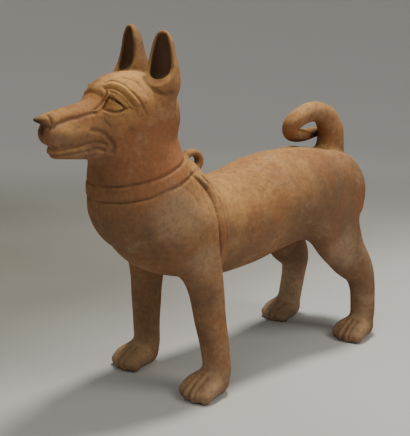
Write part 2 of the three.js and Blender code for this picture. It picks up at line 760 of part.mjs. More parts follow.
// The place with the smallest error for two joined points, and that error
function bestPlace(q, points, u, v) {
  const [aa, ab, ac, ad, bb, bc, bd, cc, cd, dd] = q;
  const errorAt = ([x, y, z]) => aa * x * x + bb * y * y + cc * z * z + dd
    + 2 * (ab * x * y + ac * x * z + bc * y * z + ad * x + bd * y + cd * z);
  const pu = [points[u * 3], points[u * 3 + 1], points[u * 3 + 2]];
  const pv = [points[v * 3], points[v * 3 + 1], points[v * 3 + 2]];
  const middle = pu.map((value, n) => (value + pv[n]) / 2);
  const matrix = new THREE.Matrix3().set(aa, ab, ac, ab, bb, bc, ac, bc, cc);
  const size = length(pu[0] - pv[0], pu[1] - pv[1], pu[2] - pv[2]);
  const choices = [pu, pv, middle];
  const scale = (aa + bb + cc) / 3;
  if (Math.abs(matrix.determinant()) > 1e-4 * scale ** 3) {
    const solved = new THREE.Vector3(-ad, -bd, -cd).applyMatrix3(matrix.invert());
    const away = length(solved.x - middle[0], solved.y - middle[1], solved.z - middle[2]);
    if (away < size * 1.5) choices.push([solved.x, solved.y, solved.z]);
  }
  let place = middle;
  let error = FAR ** 2;
  for (const choice of choices) {
    const e = errorAt(choice);
    if (e < error) {
      error = e;
      place = choice;
    }
  }
  return { place, error: Math.max(error, 0) + size * size * 1e-3 };
}

// The solid

function makeDog() {
  const field = makeField();
  const xs = gridLines(-140, 142, -70, 73);
  const ys = gridLines(-362, 436, -362, -124);
  const zs = gridLines(-6, 628, 405, 628);
  const values = sampleGrid(field, xs, ys, zs);
  const { points, triangles } = marchGrid(values, xs, ys, zs);
  const kept = thin(points, triangles, FACE_COUNT, (x, y, z) => (y < -125 && z > 405 ? HEAD_DETAIL : 1));
  const used = new Map();
  const position = [];
  const index = kept.map((v) => {
    if (!used.has(v)) {
      used.set(v, used.size);
      const height = points[v * 3 + 2];
      position.push(points[v * 3], points[v * 3 + 1], height < SOLE_BAND ? 0 : height);
    }
    return used.get(v);
  });
  const geometry = new THREE.BufferGeometry();
  geometry.setAttribute("position", new THREE.Float32BufferAttribute(position, 3));
  geometry.setIndex(index);
  geometry.computeBoundingBox();
  const middle = geometry.boundingBox.getCenter(new THREE.Vector3());
  geometry.translate(-middle.x, -middle.y, 0);
  geometry.computeVertexNormals();
  const dog = new THREE.Mesh(geometry, CLAY);
  dog.name = "dog_figure";
  return dog;
}

const figure = new THREE.Group();
figure.add(makeDog());

export default figure;
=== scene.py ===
import math
from concurrent.futures import ThreadPoolExecutor

import bpy
import numpy as np
from bpy.props import FloatProperty, FloatVectorProperty, IntProperty, PointerProperty
from bpy.types import Operator, Panel, PropertyGroup
from mathutils import Matrix, Vector
from mathutils.bvhtree import BVHTree


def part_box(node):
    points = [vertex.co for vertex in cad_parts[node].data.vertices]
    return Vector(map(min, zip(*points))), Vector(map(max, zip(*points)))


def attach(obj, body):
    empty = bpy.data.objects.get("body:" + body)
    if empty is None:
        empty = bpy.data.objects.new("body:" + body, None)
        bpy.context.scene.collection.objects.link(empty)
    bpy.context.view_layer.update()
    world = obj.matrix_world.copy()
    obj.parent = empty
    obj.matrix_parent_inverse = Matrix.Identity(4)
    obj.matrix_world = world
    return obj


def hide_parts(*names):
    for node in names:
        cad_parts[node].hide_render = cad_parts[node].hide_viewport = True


bl_info = {
    "name": "Terracotta Dog",
    "version": (1, 0, 0),
    "blender": (4, 5, 0),
    "location": "View3D > Sidebar > Terracotta Dog",
    "description": "Models a standing dog of fired clay with a harness, and its studio stage",
    "category": "Add Mesh",
}

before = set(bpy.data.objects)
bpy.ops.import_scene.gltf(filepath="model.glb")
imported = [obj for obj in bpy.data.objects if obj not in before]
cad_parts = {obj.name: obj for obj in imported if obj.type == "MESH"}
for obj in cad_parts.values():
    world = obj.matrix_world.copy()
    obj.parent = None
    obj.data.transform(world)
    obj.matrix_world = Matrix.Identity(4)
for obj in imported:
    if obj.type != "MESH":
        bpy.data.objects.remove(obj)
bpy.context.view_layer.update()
NODE = "dog_figure"
MM = 0.001  # a millimetre, in metres
FAR = 1e9  # stands for a distance that nothing is nearer than

# Sections of the forms in millimetres: x, y, z, half width and half depth in the side view
# The dog looks along -Y and its left side is +X

TORSO = [
    (0, -148, 332, 78, 82), (0, -100, 302, 87, 98), (0, -20, 271, 87, 89), (0, 70, 275, 87, 92),
    (0, 150, 291, 88, 95), (0, 230, 299, 87, 92), (0, 300, 302, 85, 84), (0, 345, 296, 80, 76),
]
NECK = [(0, -142, 345, 76, 84), (0, -159, 395, 70, 79), (0, -163, 435, 64, 76), (0, -157, 466, 58, 65)]
SKULL = [
    (0, -142, 476, 56, 54), (0, -165, 484, 57, 57), (0, -195, 487, 54, 55), (0, -219, 481, 47.5, 49),
    (0, -237, 475, 40, 38.5), (0, -257, 472, 31.5, 30), (0, -280, 472, 24.5, 24), (0, -304, 472, 19.5, 19.5),
    (0, -322, 470, 16.5, 15),
]
BROW = [(24, -222, 507, 7, 8), (33, -215, 512, 8, 9), (43, -205, 508, 8, 9), (51, -193, 500, 8, 8)]
LIP = [
    (10, -232, 455, 27, 27), (11, -262, 454, 21, 22), (12, -296, 453, 15.5, 20),
    (11.5, -317, 454, 13.5, 18),
]
MUZZLE_CORE = [(0, -235, 450, 28, 22), (0, -290, 450, 18, 18), (0, -322, 452, 11, 15)]
JAW = [(0, -222, 428, 34, 20), (0, -272, 426, 25, 13.5), (0, -314, 429, 15.5, 12.5)]
NOSE = [(0, -310, 477, 14, 11), (0, -326, 476, 13, 10), (0, -339, 476, 8.5, 7), (0, -348, 476.5, 4, 3.5)]
TAIL_STEM = [
    (0, 352, 350, 30, 40), (0, 358, 385, 27.5, 31), (0, 357, 418, 25.5, 26.5),
    (-2, 343, 444, 22.5, 22.5),
]
TAIL_CURL = [
    (0, 357, 418, 25.5, 26.5), (-2, 344, 443, 22.5, 22.5), (-6, 314, 456, 20.5, 20.5),
    (-10, 280, 451, 19, 19), (-15, 254, 434, 17.5, 17.5), (-22, 257, 417, 15.5, 15.5),
    (-28, 280, 409, 14, 14), (-33, 306, 407, 13, 13), (-37, 332, 407, 12, 12), (-40, 350, 408, 11, 11),
    (-41, 367, 410, 10, 10),
]

# Leg sections of the left side, from the middle of the ankle, and the places of the four feet

FRONT_LEG = [
    (-36, -31, 285, 42, 56), (-25, -23, 235, 35, 41), (-16, -14, 185, 29.5, 31.5),
    (-9, -9, 130, 27, 27.5), (-3, -4, 85, 24.5, 25), (0, 0, 45, 24, 24),
]
HIND_LEG = [
    (-39, -68, 300, 44, 82), (-32, -75, 258, 40, 81), (-25, -66, 220, 34, 64), (-18, -41, 178, 29.5, 48),
    (-13, -6, 138, 27, 36), (-6, 3, 100, 24.5, 28), (0, 0, 48, 24.5, 25),
]
FRONT_ANKLES = {1: (94, -59.5), -1: (-94, -54.5)}
HIND_ANKLES = {1: (93, 370), -1: (-93, 362)}
FRONT_PAW_SHIFT = -4  # across, from the ankle to the middle of a front paw
HIND_PAW_SHIFT = -2  # lengthways, from the ankle to the middle of a hind paw
TOES = [(-21, -47), (-7.3, -54), (7.3, -54), (21, -47)]

# Ears: base, tips, turn of each opening to its side, and along the height the half width, the
# half depth, how far forward the front is cut away and the thickness of the wall

EAR_BASES = {1: (43, -142, 500), -1: (-38, -137, 514)}
EAR_TIPS = {1: (41, -138, 607), -1: (-36.5, -139.5, 616)}
EAR_TURNS = {1: 21, -1: 6}
EAR_SECTIONS = [
    (-0.2, 18, 17, 60, 8), (0, 23, 23, 50, 8), (0.2, 28.5, 30, 28, 8.5), (0.4, 27, 29, 11, 8),
    (0.6, 22.5, 24.5, 6, 6), (0.8, 17.5, 19, 5, 5.5), (0.86, 15.2, 16.3, 4.5, 6), (0.92, 12.2, 12.5, 4, 7),
    (0.96, 8.8, 9, 3.5, 8), (0.985, 5.4, 5.6, 2.5, 8), (1, 0.4, 0.4, 1, 8),
]
EAR_HOLLOW_SPAN = (0.4, 0.86)  # where the hollow starts and ends along the ear's height
EAR_LEAN = 0.12  # how far the opening looks upwards

# Lead ring at the withers: middle as y and z, radius to the middle of the clay, half thickness

RING_CENTRE = (-35, 388)
RING_RADIUS = 15.5
RING_THICKNESS = 7.2

# Width of the smooth blend where a form meets the ones before it, and of the softened edges, and
# the height below which no form of the head reaches

HEAD_FORMS = [(SKULL, 0), (BROW, 14), (MUZZLE_CORE, 10), (LIP, 8), (JAW, 6), (NOSE, 4)]
HEAD_FOOT = 370
NECK_BLEND = 45
HEAD_BLEND = 24
FRONT_LEG_BLEND = 26
HIND_LEG_BLEND = 24
PAW_BLEND = 12
TOE_BLEND = 4
TAIL_STEM_BLEND = 14
TAIL_CURL_BLEND = 3
RING_BLEND = 6
EAR_BLEND = 8
HOLLOW_EDGE = 2.5
SOLE_EDGE = 1.6

# Harness lines in the side view, as y and z, with the depth and half width of their grooves

COLLAR_UPPER = [(-262, 367), (-232, 369), (-200, 376), (-171, 384), (-127, 397), (-80, 411), (-52, 418)]
COLLAR_LOWER = [(-262, 342), (-232, 344), (-196, 352), (-168, 362), (-123, 373), (-84, 384)]
GIRTH_FRONT = [
    (-60, 402), (-103, 384), (-80, 360), (-68, 338), (-65, 309), (-62, 272), (-58, 240), (-58, 150),
]
GIRTH_BACK = [
    (-48, 396), (-71, 377), (-45, 352), (-39, 324), (-38, 291), (-36, 257), (-36, 230), (-36, 150),
]
SHOULDER_CREASE = [(-138, 368), (-115, 352), (-102, 332)]
COLLAR_UPPER_GROOVE = (2.2, 2.2)
COLLAR_LOWER_GROOVE = (2, 2.2)
GIRTH_FRONT_GROOVE = (1.6, 2.4)
GIRTH_FRONT_EXTRA = 1.2  # more depth on the flank, below the withers
GIRTH_BACK_GROOVE = (2, 2.6)
GIRTH_HALF_WIDTH = 7
CREASE_GROOVE = (0.7, 2.6)

# Eye in the side view, as y and z: sunk socket, raised ball inside its rim and its crown

EYE_CORNERS = [(-250, 488), (-237, 509), (-214, 489), (-232, 482.5)]
EYE_MIDDLE = (-233, 491)
EYE_CROWN_REACH = (13, 11)
SOCKET_DEPTH = 5.5
BALL_RISE = 4.2
BALL_INSET = 2.8  # gap between the rim and the ball
CROWN_RISE = 2.5

# Lines worked into the soft clay of the head's left side, as points near the surface: each group has
# its depth, where minus stands for a raised line, and the half width of its soft edge

WORKED_LINES = [
    (2.8, 1.8, [
        [(20, -238, 520), (30, -232, 521), (41, -225, 515), (49, -216, 505), (53, -208, 494)],
        [(21, -237, 520), (26, -240, 514), (26, -244, 504), (26, -252, 495), (25, -260, 489)],
    ]),
    (2.4, 1.9, [
        [(14, -233, 526), (19, -223, 531), (28, -218, 530), (39, -213, 525), (48, -211, 518),
         (55, -204, 508), (59, -198, 497), (58, -192, 488), (59, -186, 478)],
    ]),
    (1.4, 1.8, [
        [(22, -208, 535), (28, -199, 534), (37, -190, 529), (44, -187, 523), (49, -183, 517),
         (56, -181, 507)],
        [(50, -214, 491), (54, -205, 487), (54, -203, 483)],
        [(34, -250, 477), (35, -249, 472), (36, -244, 467), (37, -241, 463)],
    ]),
    (-1.6, 1.5, [
        [(31, -239, 501), (33, -235, 511), (41, -228, 503), (48, -216, 491)],
        [(31, -233, 517), (41, -226, 512), (47, -219, 504), (51, -211, 493)],
        [(30, -237, 512), (29, -242, 503), (29, -248, 495), (28, -255, 488), (26, -261, 486)],
        [(33, -249, 485), (38, -242, 481), (42, -233, 480), (46, -224, 483), (49, -216, 489)],
    ]),
    (-2.3, 3.5, [
        [(16, -234, 524), (25, -228, 526), (38, -221, 523), (48, -215, 515), (54, -209, 505),
         (57, -202, 496)],
        [(53, -205, 475), (52, -207, 469), (51, -210, 462)],
    ]),
    (2, 3, [
        [(17, -331, 465), (19, -324, 470), (19, -313, 473), (20, -299, 477), (22, -289, 478), (23, -278, 481),
         (27, -262, 485)],
        [(0, -338, 467), (7, -336, 466), (14, -333, 466)],
    ]),
    (2, 2, [
        [(13, -334, 463), (9, -336, 454), (6, -335, 446), (5, -328, 438), (12, -322, 434)],
        [(0, -326, 433), (12, -322, 431), (16, -313, 431), (18, -303, 432), (20, -292, 434), (23, -279, 438),
         (27, -265, 440), (29, -252, 439), (31, -244, 436)],
        [(0, -324, 423), (5, -324, 423), (14, -313, 423), (20, -293, 424), (25, -272, 428)],
        [(8, -333, 484), (12, -331, 478), (14, -331, 471)],
    ]),
    (3.8, 2.6, [
        [(25, -272, 428), (26, -261, 430), (28, -254, 429), (31, -248, 427)],
    ]),
    (-1, 2.4, [
        [(3, -326, 429), (14, -320, 427), (17, -308, 427), (20, -292, 430), (22, -277, 433), (24, -262, 435),
         (29, -248, 433)],
    ]),
    (3.2, 3.2, [
        [(31, -269, 459), (33, -259, 457), (34, -250, 453), (35, -242, 446), (36, -236, 438), (37, -234, 429),
         (36, -236, 424)],
        [(28, -168, 532), (38, -172, 526), (50, -171, 520), (60, -166, 513), (67, -157, 508),
         (71, -145, 511)],
    ]),
]

# Grooves between the toes of a paw: depth, half width, places across, and from the top of the paw
# to the floor the share of that place, the way forward and the height

TOE_GROOVE = (4.2, 2.1)
TOE_GAPS = (-14, 0, 14)
TOE_GROOVE_PATH = [(0.95, -36, 42), (1, -47, 36), (1, -62, 24), (1.05, -66, 6)]

# Depth and half width of the sharper groove along the edges of the collar and the girth band

HARNESS_GROOVE = (1.3, 2.1)

# Grid of the mesh along x, y and z: start, end, and the parts with smaller cells, as from, to and
# the share of the head's cell

GRID = [
    (-140, 142, [(-60, -18, 1), (18, 60, 1), (-70, 73, 1.3), (-126, 126, 1.7)]),
    (-362, 436, [(-262, -205, 0.8), (-362, -190, 1), (-362, -20, 1.6), (294, 352, 1.7)]),
    (-8, 634, [(476, 516, 0.8), (415, 545, 1), (345, 634, 1.6), (-8, 48, 1.7)]),
]
FINER = 12  # points of a form's fine table for each of its steps
TRIANGLES = 190000  # what the finished mesh is made lighter to
HAND_MARK_DENSITY = 320.0  # soft dents for each square metre
EAR_SHADE_AND_DIRT = 0.66  # painted shade and dirt in the hollows of the ears, where 1 is the most

# Patches of the clay in the finished frame, in metres: middle, inner reach, outer reach, share

# Dark patches: stains, and painted shade on the throat, cheek, lower flank, rump and far ear
SOOT_AND_SHADE_PATCHES = [
    ((0.03, -0.26, 0.29), 0.03, 0.1, 0.5), ((0.065, -0.2, 0.262), 0.015, 0.05, 0.45),
    ((0.096, -0.13, 0.175), 0.01, 0.035, 0.4), ((0.09, -0.126, 0.11), 0.01, 0.035, 0.4),
    ((-0.08, -0.09, 0.2), 0.03, 0.07, 0.4), ((0.045, -0.26, 0.4), 0.03, 0.085, 0.5),
    ((0.088, 0.02, 0.262), 0.02, 0.06, 0.45), ((0.087, 0.13, 0.264), 0.02, 0.06, 0.35),
    ((0.087, 0.215, 0.335), 0.015, 0.055, 0.4), ((-0.02, -0.175, 0.575), 0.02, 0.055, 0.5),
]
# Paler patches: painted light with burnish on the forehead, and a paler spot near the withers
PALE_AND_LIT_PATCHES = [((0.03, -0.25, 0.53), 0.04, 0.095, 1.0), ((0.07, -0.02, 0.34), 0.02, 0.08, 0.4)]
RED_PATCHES = [
    ((0.06, -0.2, 0.42), 0.04, 0.13, 0.8), ((0.06, 0.21, 0.375), 0.015, 0.055, 0.5),
    ((0.088, 0.07, 0.306), 0.015, 0.05, 0.5), ((0.095, 0.313, 0.286), 0.02, 0.05, 0.6),
    ((0.116, -0.09, 0.12), 0.015, 0.05, 0.5), ((0.03, 0.08, 0.4), 0.05, 0.16, 0.25),
    ((-0.01, 0.32, 0.44), 0.03, 0.08, 0.3),
]
# Dusty patches; the one on the right hind paw is painted light on a paw in shadow
DUST_AND_LIGHT_PATCHES = [
    ((0.1, -0.185, 0.325), 0.02, 0.07, 0.5), ((0.103, 0.254, 0.195), 0.015, 0.05, 0.5),
    ((0.1, -0.13, 0.24), 0.01, 0.04, 0.4), ((0.095, -0.14, 0.03), 0.03, 0.07, 0.5),
    ((-0.09, -0.14, 0.03), 0.03, 0.07, 0.55), ((0.1, 0.28, 0.03), 0.03, 0.07, 0.35),
    ((-0.09, 0.28, 0.04), 0.05, 0.11, 0.9),
]
NOSE_SOOT = [((0.0, -0.388, 0.462), 0.013, 0.027, 1.0)]

# Stage in metres: reach of the flat floor, radius of the curve at its edge and top of the wall,
# the faces round it and up the curve, and the tints of the lights and the room

FLOOR_REACH = 3.2
FLOOR_CURVE = 1.6
WALL_TOP = 3.4
FLOOR_TURNS = 96
CURVE_STEPS = 12
WARM_LIGHT = (1.0, 0.95, 0.87)
SOFT_LIGHT = (1.0, 0.97, 0.94)
ROOM_COLOUR = (0.9, 0.96, 1.0)

# Camera, from a fit to the photograph: turn from the front, rise and roll in degrees, distance and
# target in metres, and focal length in millimetres

CAMERA_TURN = 45
CAMERA_RISE = 12
CAMERA_ROLL = 0.8
CAMERA_DISTANCE = 1.482
CAMERA_TARGET = (0.00274, -0.03506, 0.2832)
CAMERA_LENS = 73.3


class DogSizes(PropertyGroup):
    """Sizes of the modelled dog that a user may change."""
    head_cell: FloatProperty(
        name="Head cell", description="Spacing of the mesh over the head",
        default=0.0016, min=0.001, max=0.01, subtype="DISTANCE", unit="LENGTH")
    body_cell: FloatProperty(
        name="Body cell", description="Spacing of the mesh over the body and legs",
        default=0.0042, min=0.002, max=0.02, subtype="DISTANCE", unit="LENGTH")
    collar_raise: FloatProperty(
        name="Collar height", description="How far the collar stands above the neck",
        default=0.001, min=0.0, max=0.01, subtype="DISTANCE", unit="LENGTH")
    girth_raise: FloatProperty(
        name="Girth height", description="How far the girth band stands above the body",
        default=0.0045, min=0.0, max=0.01, subtype="DISTANCE", unit="LENGTH")
    seam_depth: FloatProperty(
        name="Seam depth", description="Depth of the seam down the middle of the chest",
        default=0.0022, min=0.0, max=0.01, subtype="DISTANCE", unit="LENGTH")
    seam_width: FloatProperty(
        name="Seam width", description="Half width of the seam down the middle of the chest",
        default=0.0024, min=0.0005, max=0.01, subtype="DISTANCE", unit="LENGTH")


class ClayFinish(PropertyGroup):
    """Colours and roughness of the fired clay."""
    # Pale tan for painted light on the tops and forehead, and for burnish
    clay_light: FloatVectorProperty(
        name="Lit and burnished clay", description="Pale tan of the burnished back and tops",
        default=(0.56, 0.31, 0.105), size=3, min=0.0, max=1.0, subtype="COLOR")
    clay_middle: FloatVectorProperty(
        name="Fired clay", description="Orange brown of the body",
        default=(0.31, 0.158, 0.076), size=3, min=0.0, max=1.0, subtype="COLOR")
    clay_red: FloatVectorProperty(
        name="Red clay", description="Redder patches where the fire reached",
        default=(0.30, 0.115, 0.05), size=3, min=0.0, max=1.0, subtype="COLOR")
    # Pale grey tan of dusty patches, also used for painted light on the right hind paw
    dust_and_painted_light: FloatVectorProperty(
        name="Dust", description="Pale grey tan of dusty patches",
        default=(0.42, 0.29, 0.18), size=3, min=0.0, max=1.0, subtype="COLOR")
    clay_dark: FloatVectorProperty(
        name="Dark clay", description="Brown of the shaded and sooty patches",
        default=(0.165, 0.098, 0.06), size=3, min=0.0, max=1.0, subtype="COLOR")
    # Dark colour for dirt and for painted shade deep in the hollows, and for the nose's sooty tip
    dirt_and_shade_colour: FloatVectorProperty(
        name="Shade and dirt", description="Dirt in the ears, grooves and other hollows",
        default=(0.05, 0.028, 0.013), size=3, min=0.0, max=1.0, subtype="COLOR")
    roughness: FloatProperty(
        name="Roughness", description="Roughness of the bare clay",
        default=0.75, min=0.0, max=1.0, subtype="FACTOR")
    knock_depth: FloatProperty(
        name="Hand mark depth", description="Depth of the soft dents that hands left",
        default=0.0008, min=0.0, max=0.005, subtype="DISTANCE", unit="LENGTH")
    knock_width: FloatProperty(
        name="Hand mark width", description="Reach of the soft dents that hands left",
        default=0.016, min=0.002, max=0.05, subtype="DISTANCE", unit="LENGTH")
    seed: IntProperty(
        name="Seed", description="Seed for the places of the hand marks", default=7, min=0)


class StageSetup(PropertyGroup):
    """Floor and lights of the studio stage."""
    floor_colour: FloatVectorProperty(
        name="Floor", description="Colour of the plain floor",
        default=(0.57, 0.575, 0.56), size=3, min=0.0, max=1.0, subtype="COLOR")
    # Painted shade for the floor beyond the dog's right side
    far_shade_colour: FloatVectorProperty(
        name="Far floor", description="Colour of the floor beyond the dog's right side",
        default=(0.25, 0.24, 0.2), size=3, min=0.0, max=1.0, subtype="COLOR")
    wall_colour: FloatVectorProperty(
        name="Wall", description="Colour of the paper where it rises",
        default=(0.78, 0.765, 0.74), size=3, min=0.0, max=1.0, subtype="COLOR")
    key_power: FloatProperty(
        name="Key light", description="Power of the soft light above the dog",
        default=43.0, min=0.0, unit="POWER")
    side_power: FloatProperty(
        name="Side light", description="Power of the wide light on the dog's left side",
        default=26.0, min=0.0, unit="POWER")
    front_power: FloatProperty(
        name="Front light", description="Power of the soft light high above the dog's face",
        default=8.5, min=0.0, unit="POWER")
    fill_power: FloatProperty(
        name="Fill light", description="Power of the soft light near the camera",
        default=2.0, min=0.0, unit="POWER")
    sky_strength: FloatProperty(
        name="Room light", description="Strength of the even light from all round",
        default=0.17, min=0.0)


# Field of distances, in millimetres: negative inside the clay

def through(rows, steps):
    """Points on a smooth line through the rows, with the end spans mirrored."""
    rows = np.asarray(rows, float)
    padded = np.vstack([2 * rows[0] - rows[1], rows, 2 * rows[-1] - rows[-2]])
    out = []
    for i in range(len(rows) - 1):
        a, b, c, d = padded[i:i + 4]
        t = (np.arange(steps) / steps)[:, None]
        out.append(0.5 * (2 * b + (c - a) * t + (2 * a - 5 * b + 4 * c - d) * t ** 2
                          + (3 * b - a - 3 * c + d) * t ** 3))
    return np.vstack(out + [rows[-1:]])


def join(a, b, blend):
    """Smooth union of two fields."""
    closeness = np.maximum(blend - np.abs(a - b), 0) / blend
    return np.minimum(a, b) - closeness * closeness * (blend * 0.25)


def cut(a, b, blend):
    """Field a with the inside of field b taken away."""
    return -join(-a, b, blend)


def oval(x, y, a, b):
    """Approximate distance to an ellipse, from offsets and half sizes."""
    share = np.sqrt((x / a) ** 2 + (y / b) ** 2)
    growth = np.sqrt((x / (a * a)) ** 2 + (y / (b * b)) ** 2)
    return share * (share - 1) / np.maximum(growth, 1e-6)


def step(value, width):
    """Soft step from 0 to 1 as the value passes nought."""
    return 1 / (1 + np.exp(-np.clip(value / width, -30, 30)))


def bump(distance, width):
    """One on a line, falling softly to nothing beyond the width."""
    return np.exp(-np.minimum((distance / width) ** 2, 30))


def boxed(low, high, margin, inner, p):
    """Runs inner on the points near a box, and gives the distance to the box elsewhere."""
    gap = np.linalg.norm(np.maximum(np.maximum(low - p, p - high), 0), axis=1)
    near = gap <= margin
    if near.any():
        gap[near] = inner(p[near])
    return gap


class Limb:
    """A form along a smooth line with an oval section that changes along it."""

    def __init__(self, sections, margin, steps=4):
        self.fine = through(sections, steps * FINER)
        rows = self.fine[::FINER]
        self.joints = rows[:, :3]
        along = np.gradient(self.fine[:, :3], axis=0)[::FINER]
        self.along = along / np.linalg.norm(along, axis=1)[:, None]
        reach = rows[:, 3:].max(axis=1)[:, None]
        self.low = (self.joints - reach).min(axis=0)
        self.high = (self.joints + reach).max(axis=0)
        self.margin = margin

    def inner(self, p):
        """Distance from the section at the nearest place along the line."""
        last = len(self.joints) - 1
        ahead = [(p - joint) @ way for joint, way in zip(self.joints, self.along)]
        place = np.where(ahead[0] < 0, 0.0, float(last))
        ends = np.where((ahead[0] < 0)[:, None], self.joints[0], self.joints[last])
        loose = (ahead[0] >= 0) & (ahead[last] < 0)
        nearest = np.where(loose, FAR, ((p - ends) ** 2).sum(axis=1))
        for n in range(last):
            between = (ahead[n] >= 0) & (ahead[n + 1] < 0)
            if not between.any():
                continue
            t = ahead[n][between] / (ahead[n][between] - ahead[n + 1][between])
            spot = self.joints[n] + t[:, None] * (self.joints[n + 1] - self.joints[n])
            away = ((p[between] - spot) ** 2).sum(axis=1)
            closer = away < nearest[between]
            chosen = np.nonzero(between)[0][closer]
            nearest[chosen] = away[closer]
            place[chosen] = n + t[closer]
        place *= FINER
        first = np.minimum(place.astype(int), len(self.fine) - 2)
        part = (place - first)[:, None]
        row = self.fine[first] * (1 - part) + self.fine[first + 1] * part
        rest = np.hypot(p[:, 1] - row[:, 1], p[:, 2] - row[:, 2])
        return oval(p[:, 0] - row[:, 0], rest, row[:, 3], row[:, 4])

    def __call__(self, p):
        return boxed(self.low, self.high, self.margin, self.inner, p)


class SideLine:
    """A line drawn on the side of the figure, as the distance from it in the side view."""

    def __init__(self, points, steps=4):
        path = through(points, steps)
        self.start = path[:-1]
        self.run = np.diff(path, axis=0)

    def __call__(self, y, z):
        best = np.full(len(y), FAR)
        for start, run in zip(self.start, self.run):
            dy = y - start[0]
            dz = z - start[1]
            t = np.clip((dy * run[0] + dz * run[1]) / (run @ run), 0, 1)
            best = np.minimum(best, np.hypot(dy - run[0] * t, dz - run[1] * t))
        return best


def make_paw(x, y):
    """A paw with four toes, in front of the middle of the ankle."""
    parts = [Limb([(x, y - 1, 21, 25.5, 24), (x, y - 20, 21, 31, 24), (x, y - 36, 17, 32, 20)], 20, 3)]
    for dx, dy in TOES:
        parts.append(Limb([
            (x + dx * 0.8, y - 20, 25, 13, 13), (x + dx, y + dy + 12, 20, 13.5, 13.5),
            (x + dx * 1.08, y + dy, 11.5, 12.5, 12.5),
        ], 20, 3))

    def paw(p):
        distance = parts[0](p)
        for toe in parts[1:]:
            distance = join(distance, toe(p), TOE_BLEND)
        return distance
    return paw


def make_legs():
    """The four legs and paws, each with the width of its blend into the body."""
    parts = []
    for side in (1, -1):
        front = FRONT_ANKLES[side]
        hind = HIND_ANKLES[side]
        legs = ((FRONT_LEG, front, FRONT_LEG_BLEND), (HIND_LEG, hind, HIND_LEG_BLEND))
        for sections, ankle, blend in legs:
            rows = [(ankle[0] + side * x, ankle[1] + y, *rest) for x, y, *rest in sections]
            parts.append((Limb(rows, 30), blend))
        parts.append((make_paw(front[0] + FRONT_PAW_SHIFT, front[1]), PAW_BLEND))
        parts.append((make_paw(hind[0], hind[1] + HIND_PAW_SHIFT), PAW_BLEND))
    return parts


def make_ear(side):
    """The leaf of an ear with its front cut away, and the hollow inside it."""
    base = np.array(EAR_BASES[side], float)
    tip = np.array(EAR_TIPS[side], float)
    height = np.linalg.norm(tip - base)
    up = (tip - base) / height
    turn = math.radians(EAR_TURNS[side])
    facing = np.array([math.sin(turn) * side, -math.cos(turn), EAR_LEAN])
    facing -= up * (facing @ up)
    facing /= np.linalg.norm(facing)
    across = np.cross(up, facing)
    table = through(EAR_SECTIONS, 20)
    low = np.minimum(base, tip) - (36, 38, 46)
    high = np.maximum(base, tip) + (36, 38, 9)

    def shape(p, start, end, walled):
        """Distance to the oval between two heights, and how far the point is before its front."""
        offset = p - base
        along = offset @ up / height
        t = np.clip(along, start, end)
        wall = walled * np.interp(t, table[:, 0], table[:, 4])
        width = np.maximum(np.interp(t, table[:, 0], table[:, 1]) - wall, 0.4)
        depth = np.maximum(np.interp(t, table[:, 0], table[:, 2]) - wall, 0.4)
        forward = offset @ facing
        rest = (along - t) * height
        least = np.minimum(width, depth)
        aside = offset @ across
        share = np.sqrt((aside / width) ** 2 + (forward / depth) ** 2 + (rest / least) ** 2)
        growth = np.sqrt((aside / width ** 2) ** 2 + (forward / depth ** 2) ** 2
                         + (rest / least ** 2) ** 2)
        front = forward - np.interp(t, table[:, 0], table[:, 3])
        return share * (share - 1) / np.maximum(growth, 1e-6), front

    def cut_leaf(p):
        distance, front = shape(p, -0.2, 1, 0)
        return cut(distance, -front, 3)

    def leaf(p):
        return boxed(low, high, 15, cut_leaf, p)

    def hollow(p):
        return boxed(low, high, 15, lambda q: shape(q, *EAR_HOLLOW_SPAN, 1)[0], p)
    return leaf, hollow


def lead_ring(p):
    """A round ring that stands upright along the back, a little longer than high."""
    dy = (p[:, 1] - RING_CENTRE[0]) / 1.15
    dz = p[:, 2] - RING_CENTRE[1]
    return np.hypot(np.hypot(dy, dz) - RING_RADIUS, p[:, 0] * 0.8) - RING_THICKNESS


def eye_opening(y, z):
    """Distance outside the outline of the eye opening in the side view, negative inside."""
    inside = np.full(len(y), -FAR)
    for (y0, z0), (y1, z1) in zip(EYE_CORNERS, EYE_CORNERS[1:] + EYE_CORNERS[:1]):
        edge = math.hypot(y1 - y0, z1 - z0)
        away = ((z - z0) * (y1 - y0) - (y - y0) * (z1 - z0)) / edge
        inside = -join(-inside, -away, 4)
    return inside


